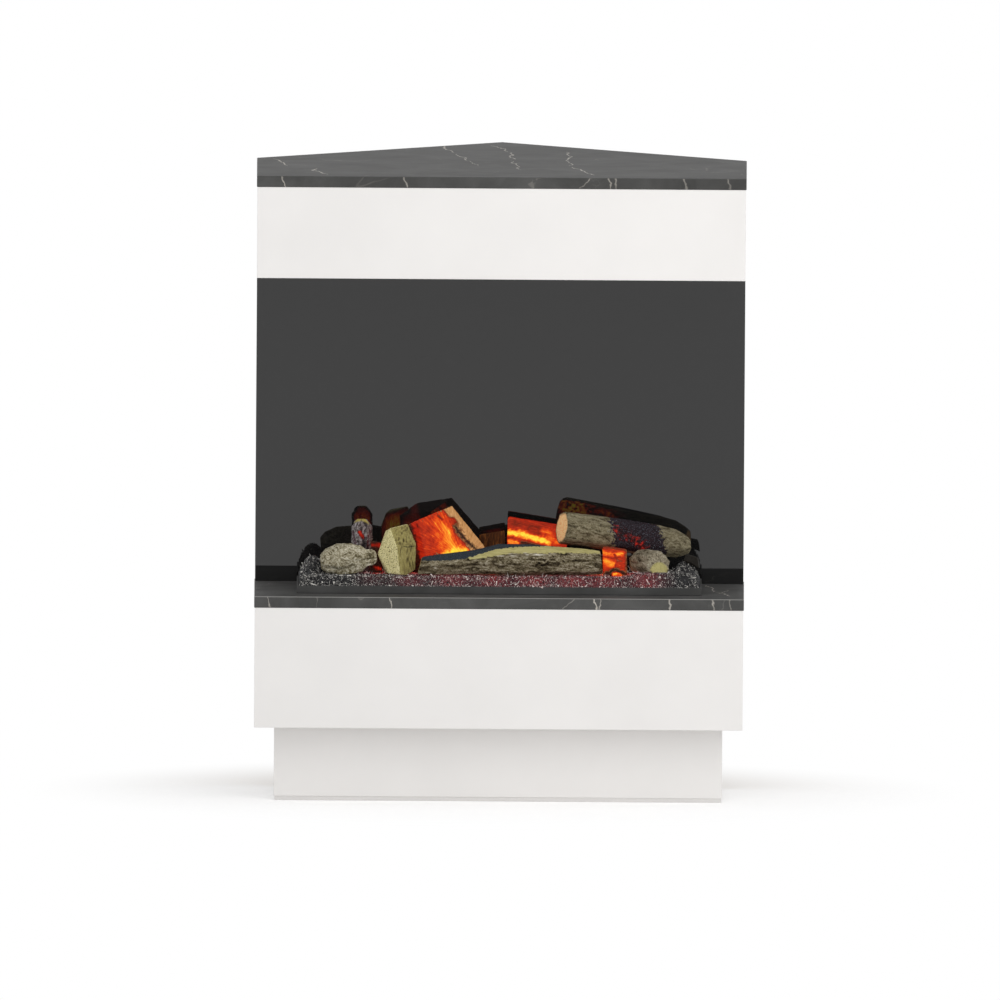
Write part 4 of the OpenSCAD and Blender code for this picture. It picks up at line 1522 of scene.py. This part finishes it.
@dataclass
class EmberBed:
    """The cast gravel bed: a closed height field with loose granules all over it, lit from below
    by spots of (x, d, reach, level)."""

    cell: float = 2.2
    lumps: Grain = Grain(3600, (0.9, 1.9), 1.0, 0.04)
    shards: Grain = Grain(36000, (0.42, 0.95), 3.4, 0.28)
    slivers: Grain = Grain(220, (1.2, 2.0), 5.0, 0.7)
    foot: float = 0.55  # radius of a shard's foot, of its half length
    sunk: float = 1.6  # the cast bed under the height that Site.bed_height gives
    swell: float = 0.9  # its lumps
    settled: float = 0.6  # how far the granules sink in
    sides: float = 316.0  # how far to the left and right they lie
    depths: Pair = (4.2, 215.5)  # the nearest and the furthest back
    crowd: float = 1.3  # over 1 puts more of them in front
    seed: int = 41
    glow: tuple[tuple[float, ...], ...] = (
        (-95, 110, 120, 1.0), (-20, 95, 90, 0.9), (60, 105, 110, 1.0), (160, 100, 110, 1.0),
        (215, 90, 70, 0.9), (-190, 100, 60, 0.9), (-200, 30, 60, 0.36), (-140, 22, 80, 0.46),
        (-75, 24, 90, 0.54), (-10, 24, 90, 0.56), (55, 24, 90, 0.58), (115, 24, 90, 0.58),
        (165, 22, 90, 0.56), (190, 40, 50, 0.72), (232, 18, 70, 0.56),
    )

    def build(self, site: Site) -> None:
        """Builds the bed and its granules.

        Args:
            site: where the bed is.
        """
        self._bed(site)
        lump, shard = bmesh.new(), bmesh.new()
        bmesh.ops.create_icosphere(lump, subdivisions=1, radius=1.0)
        bmesh.ops.create_cone(
            shard, cap_ends=True, segments=3, radius1=self.foot, radius2=0.0, depth=2.0
        )
        self._scatter(site, "ember_lumps", lump, self.lumps)
        self._scatter(site, "ember_shards", shard.copy(), self.shards)
        self._scatter(site, "ember_slivers", shard, self.slivers)

    def heat(self, x: float, d: float) -> float:
        """How strongly light comes through the bed at a place, 0 to 1."""
        spots = (Spot(sx, sd, 0, reach, level) for sx, sd, reach, level in self.glow)
        return strongest(spots, Vector((x, d, 0)), Vector((0, 0, 1)))

    def _bed(self, site: Site) -> None:
        """Builds the height field.

        Args:
            site: where the bed is.
        """
        wide, deep = TRAY_W - 2 * BED_GAP, TRAY_D - 2 * BED_GAP
        work = Painted()
        columns, rows = int(wide / self.cell), int(deep / self.cell)
        bmesh.ops.create_grid(work.bm, x_segments=columns, y_segments=rows, size=0.5)
        for vert in work.bm.verts:
            x, d = vert.co.x * wide, vert.co.y * deep + TRAY_D / 2
            at = Vector((x, d, 0))
            lumps = noise.fractal(at / 6.0, 0.8, 2.0, 3)
            levels = {"relief": 0.2 + 0.25 * lumps, "warmth": 1.25 * self.heat(x, d)}
            work.set(vert, at * MM, levels)
            vert.co = site.at(x, d, site.bed_height(x, d) - self.sunk + self.swell * lumps)
        rim = [e for e in work.bm.edges if e.is_boundary]
        made = bmesh.ops.extrude_edge_only(work.bm, edges=rim)["geom"]
        for vert in (g for g in made if isinstance(g, bmesh.types.BMVert)):
            vert.co.z = site.bed_low
        foot = [g for g in made if isinstance(g, bmesh.types.BMEdge) and g.is_boundary]
        bmesh.ops.contextual_create(work.bm, geom=foot)
        bed = work.place("ember_bed", GRAVEL_SLOT, GRAVEL)
        for face in bed.data.polygons:
            face.use_smooth = False

    def _scatter(self, site: Site, name: str, chip: bmesh.types.BMesh, kind: Grain) -> None:
        """Scatters turned and stretched copies of one chip over the bed, as one piece.

        Args:
            site: where the bed is.
            name: the piece's name.
            chip: the chip, which is freed.
            kind: how many there are and how large.
        """
        shape = np.array([v.co[:] for v in chip.verts])
        chip.verts.index_update()
        faces = np.array([[v.index for v in f.verts] for f in chip.faces])
        chip.free()
        draw = random.Random(self.seed + kind.count)
        near, far = self.depths
        points, tones, heats = [], [], []
        for _ in range(kind.count):
            x = draw.uniform(-self.sides, self.sides)
            d = min(far, max(near, TRAY_D * draw.random() ** self.crowd))
            size = draw.uniform(*kind.size)
            centre = site.at(x, d, site.bed_height(x, d) - self.settled + 0.5 * size)
            axis = (draw.uniform(-1, 1), draw.uniform(-1, 1), draw.uniform(-1, 1))
            turn = np.array(Matrix.Rotation(draw.uniform(0, math.tau), 3, axis))
            stretch = np.array([draw.uniform(*s) for s in ((0.7, 1.2), (0.7, 1.1), (0.6, 1.1))])
            stretch[2] *= kind.slender
            points.append((shape * stretch) @ turn.T * size * MM + np.array(centre))
            tones.append(1.0 if draw.random() < kind.pale else draw.random() * 0.8)
            heats.append(self.heat(x, d) * draw.uniform(0.3, 1.5))
        mesh = bpy.data.meshes.new(f"{name}.piece")
        every = np.concatenate([faces + i * len(shape) for i in range(len(points))])
        mesh.from_pydata(np.concatenate(points).tolist(), [], every.tolist())
        for layer_name, levels in (("relief", tones), ("warmth", heats)):
            layer = mesh.attributes.new(layer_name, "FLOAT", "POINT")
            layer.data.foreach_set("value", np.repeat(levels, len(shape)).astype(np.float32))
        mesh.materials.append(GRAVEL.material())
        obj = bpy.data.objects.new(f"{name}.piece", mesh)
        bpy.context.scene.collection.objects.link(obj)
        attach(obj, BED_BODY)


GLOW_FACE: Point = (0.87, -0.46, 0.18)
CENTRE_FACE: Point = (0.02, -0.98, 0.2)
REAR: Point = (0.2, 1.0, 0.1)


def round_logs() -> list[RoundLog]:
    """The pieces with bark all round, as they lie in the solid model.

    Returns:
        The pieces.
    """
    return [
        RoundLog(
            "front_log", "bark_resin", BARK_RESIN, (-124, 48, 25), 1, 0, 286,
            ((0, 15), (0.1, 17.5), (0.29, 20.5), (0.42, 26.5), (0.6, 26), (0.75, 23),
             (0.9, 21.5), (1, 18.5)),
            ((98, 26), (132, 22.5)), 25, lean=(0.25, -0.12),
            bow=((0, -9), (0.15, -6), (0.3, -3), (0.42, 0), (0.7, 0), (1, -3)),
            furrow=1.9, plate=6.0, crack=1.9,
            strokes=(
                Stroke(((-130, 30), (-40, 28), (1, 30), (70, 33), (170, 33)), 11, 0.2, bark=1.0),
                Stroke(((-46, 31), (-23, 34.5), (-4, 38), (16, 41.5), (50, 43)), 4.6, 0.15,
                       char=0.0, bark=0.0, fray=0.4),
                Stroke(((50, 43.5), (100, 44), (166, 43)), 6.5, 0.15, char=0.0, bark=0.0,
                       fray=0.3),
                Stroke(((-128, 33), (-94, 33.5), (-60, 36), (-46, 40), (-31, 45), (-8, 52),
                        (16, 55), (50, 57), (86, 57)), 9.5, 0.12, char=1.0, bark=1.0, fray=0.15),
                Stroke(((-30, 1), (30, 0)), 5, 0.8, 0.34),
            ),
        ),
        RoundLog(
            "right_log", "bark_resin", SAWN_BARK_RESIN, (99, 104, 74), 21, 8.4, 218,
            ((0, 26.5), (0.45, 26), (0.75, 25), (0.9, 22), (1, 13)),
            ridge_h=1.28, seed=2, lean=(0, -0.2), plate=4.6, crack=1.7, furrow=1.2,
            strokes=(
                Stroke(((194, 92), (198, 66), (202, 40)), 26, 0.5, char=1.05, fray=0.45),
                Stroke(((228, 84), (240, 58), (246, 34)), 24, 0.5, char=1.05, fray=0.45),
                Stroke(((216, 88), (222, 60), (226, 34)), 22, 0.3, char=1.2, fray=0.1),
                Stroke(((188, 70), (202, 60), (220, 54), (228, 40)), 17, 1.0, 0.26, fray=0.4),
            ),
            embers=(Spot(120, 132, 90, 60, 0.75, REAR), Spot(160, 160, 60, 60, 0.6, REAR)),
        ),
        RoundLog(
            "bark_nugget", "bark_resin", KNOT_RESIN, (-284, 69, 19.6), 0, -5, 90,
            ((0, 12), (0.1, 20), (0.3, 26.5), (0.55, 26.5), (0.72, 22), (0.82, 14), (0.92, 13),
             (1, 8)),
            seat=22, ridge_h=2.4, seed=5, furrow=2.0, plate=3.3, crack=1.3, curl=1.5, knobs=1.6,
            whorl=(30, 6), step=0.9,
        ),
        RoundLog(
            "bark_stub", "bark_resin", STUB_RESIN, (-219, 122, 0), 0, -90, 84,
            ((0, 17), (0.35, 13), (0.6, 17), (0.85, 17), (1, 9)),
            ridge_h=2.1, seed=6, furrow=2.2, plate=6.0, crack=2.6, curl=1.5, knobs=2.5, step=0.9,
            embers=(Spot(-219, 140, 60, 50, 0.62, REAR),),
            strokes=(
                Stroke(((-232, 80), (-219, 86), (-206, 78)), 4, 0.9, bark=0.1),
                Stroke(((-222, 64), (-217, 56)), 6, 0.9, 0.36, char=0.9, fray=0.3),
                Stroke(((-232, 62), (-229, 46)), 3.5, 0.9, 0.16, char=0.6, fray=0.8),
                Stroke(((-207, 64), (-209, 44)), 4, 0.9, 0.2, char=0.6, fray=0.8),
            ),
        ),
        RoundLog(
            "end_log", "bark_resin", END_RESIN, (254, 38, 20), 120, 0, 66,
            ((0, 21), (0.5, 23.5), (1, 19)), seat=13, seed=7, lean=(0.1, 0), heart=16.5,
            furrow=1.8,
        ),
    ]


def split_logs() -> list[SplitBlock]:
    """The split pieces and the coals. Blocks of one node stand together.

    Returns:
        The pieces.
    """
    glow = dict(slot="glow_resin", finish=GLOW_RESIN)
    coal = dict(
        node="charcoal", slot="char_resin", finish=CHAR_RESIN, axis=(1, 0, 0), coat=Coat.CHAR
    )
    loose = dict(radius=1.5, settle=0.9, cell=0.8)
    return [
        SplitBlock(
            "glow_log", corners=(
                (-131, 74, 85), (-77, 180, 101), (-26, 150, 41), (-12, 126, 0), (-113, 76, 0),
                (-158, 112, 68), (-108, 212, 82), (-152, 120, 0), (-40, 208, 0)),
            axis=(0.45, 0.85, 0.1), coat=Coat.CHAR, sides=((GLOW_FACE, Coat.WOOD),),
            embers=(
                Spot(-100, 212, 50, 90, 0.95, REAR),
                Spot(-150, 150, 40, 60, 0.8, (-1, 0.6, 0)),
            ),
            strokes=(
                *toward(
                    GLOW_FACE,
                    Stroke(((-114, 60), (-98, 62)), 44, 0.3, 0.45),
                    Stroke(((-84, 62), (-66, 42)), 24, 0.6, 0.5),
                    Stroke(((-95, 82), (-90, 60), (-86, 44)), 18, 0.9, 0.6),
                    Stroke(((-83, 74), (-80, 52), (-70, 40)), 12, 0.9, 0.74),
                    Stroke(((-86, 30), (-70, 36), (-54, 35)), 10, 1.0, 1.0),
                    Stroke(((-131, 90), (-124, 60)), 5, 1.0, 0.36, char=0.3),
                ),
                Stroke(((-138, 88), (-132, 70), (-116, 10)), 13, 0.9, 0.42, char=0.3,
                       facing=(-0.8, -0.58, 0)),
                *toward(
                    GLOW_FACE,
                    Stroke(((-80, 102), (-66, 92), (-47, 68), (-22, 36)), 11, 0.5, 0.15),
                    Stroke(((-90, 92), (-80, 74)), 8, 0.9, 0.52),
                    Stroke(((-98, 90), (-91, 84)), 3.2, 1.0, 0.3, char=0.5),
                    Stroke(((-85, 102), (-77, 90)), 9, 1.0, 0.14),
                    Stroke(((-76, 80), (-64, 60), (-50, 46)), 8, 1.0, 0.44),
                    Stroke(((-70, 72), (-59, 57), (-47, 45), (-33, 33)), 8, 1.0, 0.14,
                           char=0.72, fray=0.3),
                    Stroke(((-120, 12), (-20, 6)), 18, 0.5, 0.1, char=1.0),
                ),
                Stroke(((-158, 80), (-134, 94)), 15, 1.0, char=0.35, bark=0.0,
                       facing=(-0.5, -0.3, 0.8)),
            ),
            seed=3, flare=(-56, 132, 22), **glow,
        ),
        SplitBlock(
            "centre_log", corners=(
                (14, 194, 82), (106, 202, 68), (12, 172, 0), (104, 182, 0),
                (16, 211, 82), (108, 213, 68), (14, 215, 0), (106, 215, 0)),
            axis=(1.0, 0.08, -0.25), coat=Coat.CHAR, sides=((CENTRE_FACE, Coat.WOOD),),
            strokes=(
                Stroke(((10, 60), (106, 50)), 60, 0.3, 0.4),
                Stroke(((20, 75), (62, 67)), 8, 1.0, 0.35),
                Stroke(((70, 61), (82, 57)), 8, 1.0, 0.58),
                Stroke(((12, 60), (36, 57), (56, 50), (78, 45)), 8, 0.9, 0.98),
                Stroke(((80, 50), (92, 44)), 8, 0.9, 0.58),
                Stroke(((36, 44), (62, 38)), 5, 0.9, 0.2, char=0.8),
                Stroke(((16, 46), (28, 42)), 6, 0.8, 0.72),
            ),
            seed=5, **glow,
        ),
        SplitBlock(
            "rear_log", "char_resin", CHAR_RESIN,
            ((-21, 177, 0), (7, 175, 0), (-29, 206, 0), (7, 208, 0),
             (-31, 185, 55), (7, 181, 62), (-31, 204, 50), (6, 206, 56)),
            axis=(0.1, 0, 1), seed=6, embers=(Spot(-8, 208, 50, 45, 0.36, REAR),),
        ),
        SplitBlock(
            "pale_block", "split_resin", SPLIT_RESIN,
            ((-173, 58, 73), (-162, 39, 44), (-157, 36, 3), (-192, 62, 33), (-180, 72, 68),
             (-176, 48, 4), (-147, 70, 79), (-134, 63, 49), (-135, 54, 10), (-149, 41, 2),
             (-180, 78, 0), (-170, 81, 66), (-146, 79, 60), (-142, 80, 0)),
            # painted shade: the facet that faces right and to the front takes the darker bark coat
            axis=(0.15, 0.1, 1.0), sides=(((0.5, -0.75, 0.2), Coat.BARK),), seed=7,
            embers=(Spot(-160, 82, 40, 60, 0.95, REAR),),
            strokes=(
                Stroke(((-154, 47), (-146, 45), (-134, 46)), 1.3, 1.0, char=0.75, fray=0.6,
                       facing=(0.6, -0.8, 0)),
            ),
        ),
        SplitBlock(
            "glow_chunk", corners=(
                (166, 70, 44), (200, 77, 40), (167, 68, 0), (201, 71, 0),
                (172, 96, 42), (196, 98, 38), (172, 100, 0), (196, 100, 0)),
            axis=(1, 0.1, -0.2), radius=3.0,
            strokes=(
                Stroke(((166, 40), (200, 8)), 60, 0.2, 0.43),
                Stroke(((164, 37), (179, 34), (194, 35)), 6, 1.0, 0.72),
                Stroke(((164, 45), (202, 42)), 4, 1.0, 0.3, char=0.6),
                Stroke(((169, 24), (179, 18)), 10, 1.0, 0.74),
                Stroke(((183, 34), (187, 25), (184, 14)), 2.2, 1.0, 0.34, fray=0.8),
                Stroke(((187, 25), (198, 22)), 1.8, 1.0, 0.3, fray=0.8),
                Stroke(((166, 31), (178, 28), (192, 30)), 1.6, 1.0, 0.34, fray=0.6),
                Stroke(((204, 44), (204, 4)), 7, 1.0, 0.22, char=0.7),
                Stroke(((168, 2), (182, 10), (200, 2)), 6, 0.9, 0.15, char=0.8, fray=0.5),
            ),
            seed=9, **glow,
        ),
        SplitBlock(
            "glow_chunk", corners=(
                (-203, 90, 51), (-188, 90, 49), (-204, 89, 0), (-187, 89, 0),
                (-201, 102, 48), (-189, 102, 46), (-203, 103, 0), (-188, 103, 0)),
            axis=(0, 0, 1), coat=Coat.CHAR,
            strokes=(
                Stroke(((-204, 46), (-184, 44)), 8, 1.0, 0.38, fray=0.3),
                Stroke(((-198, 10), (-184, 6)), 8, 1.0, 0.36, fray=0.3),
            ),
            seed=10, **glow,
        ),
        SplitBlock(
            corners=(
                (293, 66, 26), (304, 64, 24), (317, 68, 14), (318, 90, 14), (294, 92, 26),
                (304, 94, 24), (296, 70, 34), (314, 68, 31), (316, 86, 29), (298, 90, 35)),
            seed=11, **loose, **coal,
        ),
        SplitBlock(
            corners=(
                (178, 48, 0), (194, 46, 0), (176, 62, 0), (195, 61, 0), (182, 51, 9),
                (191, 57, 8)),
            rough=0.6, seed=12, strokes=(Stroke(((182, 4), (194, 2)), 7, 0.8, 0.66),),
            **loose, **coal,
        ),
        SplitBlock(
            corners=(
                (108, 92, 0), (150, 96, 0), (108, 128, 0), (150, 134, 0), (112, 100, 42.5),
                (146, 106, 36.5), (112, 118, 42.5), (146, 124, 36.5)),
            rough=0.8, seed=13, **coal,
        ),
    ]


@dataclass
class LogBed:
    """The lift-off bed: tray, embers, logs and coals."""

    site: Site

    def build(self) -> None:
        """Builds every piece of the bed."""
        SubAssembly((Part("bed_tray", "tray_steel", TRAY_COAT, 0.4),), BED_BODY).build()
        EmberBed().build(self.site)
        for log in round_logs():
            log.build(self.site)
        for _, blocks in groupby(split_logs(), key=lambda block: block.node):
            work = Painted()
            for block in blocks:
                block.paint(self.site, work)
            work.place(block.node, block.slot, block.finish)


# --------------------------------------------------------------------------- stage


@dataclass
class Stage:
    """White studio: floor, soft light and the camera of the photo.

    The photo has parallel rays. Its pitch and roll in degrees, its mm per pixel and where its
    middle lies, in pixels from the foot of the front edge, were measured on the boards.
    """

    pitch: float = 4.04
    roll: float = 0.38
    pixel: float = 1.5886
    pixels: int = 1000
    middle: Pair = (2.3, 305.2)
    sky: float = 0.57
    lamp_size: float = 3.0
    lamp_power: float = 41.0
    lamp_place: Point = (0.8, -3.1, 1.4)
    lamp_turn: Point = (80.0, 0.0, 14.0)
    floor: float = 12.0  # radius, in metres like the lamp's size and place
    back: float = 3.0  # from the front edge to the camera
    sight: float = 30.0

    def build(self, site: Site) -> None:
        """Sets the stage.

        Args:
            site: where the cabinet's front edge is.
        """
        self._floor()
        self._world()
        self._light()
        self._camera(site)

    def _floor(self) -> None:
        """Lays the floor."""
        bm = bmesh.new()
        bmesh.ops.create_circle(bm, cap_ends=True, segments=96, radius=self.floor)
        shown("studio_floor", bm, StudioFloor("studio_floor"))

    def _world(self) -> None:
        """White surroundings, a little dimmer as a source of light."""
        world = bpy.data.worlds.new("studio")
        bpy.context.scene.world = world
        world.use_nodes = True
        world.node_tree.nodes.clear()
        add = partial(add_node, world.node_tree)
        lighting, seen = (
            add("Background", {"Color": PURE_WHITE, "Strength": s}) for s in (self.sky, 1.0)
        )
        mixed = add("MixShader", {0: seen_directly(add), 1: lighting, 2: seen})
        add("OutputWorld", {"Surface": mixed})

    def _light(self) -> None:
        """One wide soft light over the front."""
        light = bpy.data.lights.new("softbox", "AREA")
        light.shape = "SQUARE"
        light.size = self.lamp_size
        light.energy = self.lamp_power
        light.color = (1.0, 0.99, 0.98)
        lamp = bpy.data.objects.new("softbox", light)
        bpy.context.scene.collection.objects.link(lamp)
        lamp.location = self.lamp_place
        lamp.rotation_euler = [math.radians(a) for a in self.lamp_turn]
        lamp.visible_camera = False
        lamp.visible_glossy = False

    def _camera(self, site: Site) -> None:
        """Puts the camera where the photo's was.

        Args:
            site: where the cabinet's front edge is.
        """
        tilt, turn = math.radians(self.pitch), math.radians(self.roll)
        forward = Vector((0, math.cos(tilt), -math.sin(tilt)))
        upright = Vector((0, math.sin(tilt), math.cos(tilt)))
        right = math.cos(turn) * Vector((1, 0, 0)) + math.sin(turn) * upright
        up = -math.sin(turn) * Vector((1, 0, 0)) + math.cos(turn) * upright
        pixel = self.pixel * MM
        sideways, height = self.middle
        place = Vector((0, site.front, 0)) + pixel * (sideways * right + height * up)
        data = bpy.data.cameras.new("camera")
        data.type = "ORTHO"
        data.ortho_scale = self.pixels * pixel
        data.clip_end = self.sight
        camera = bpy.data.objects.new("camera", data)
        turned = Matrix((right, up, -forward)).transposed().to_4x4()
        camera.matrix_world = Matrix.Translation(place - self.back * forward) @ turned
        bpy.context.scene.collection.objects.link(camera)
        bpy.context.scene.camera = camera


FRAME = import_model()


def main() -> None:
    """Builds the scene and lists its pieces."""
    logging.basicConfig(level=logging.INFO, format="%(levelname)s %(message)s")
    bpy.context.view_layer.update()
    bpy.context.scene.view_settings.view_transform = "Standard"
    noise.seed_set(NOISE_SEED)
    site = Site.read()
    for part in (Plinth(), LowerBox(), Column(), UpperBox(), Insert(), *loose_parts()):
        part.build()
    LogBed(site).build()
    Stage().build(site)
    for obj in bpy.context.scene.objects:
        if obj.name.endswith(".piece"):
            obj.data.calc_loop_triangles()
            LOG.info("%s: %d triangles", obj.name, len(obj.data.loop_triangles))


if __name__ == "__main__":
    main()
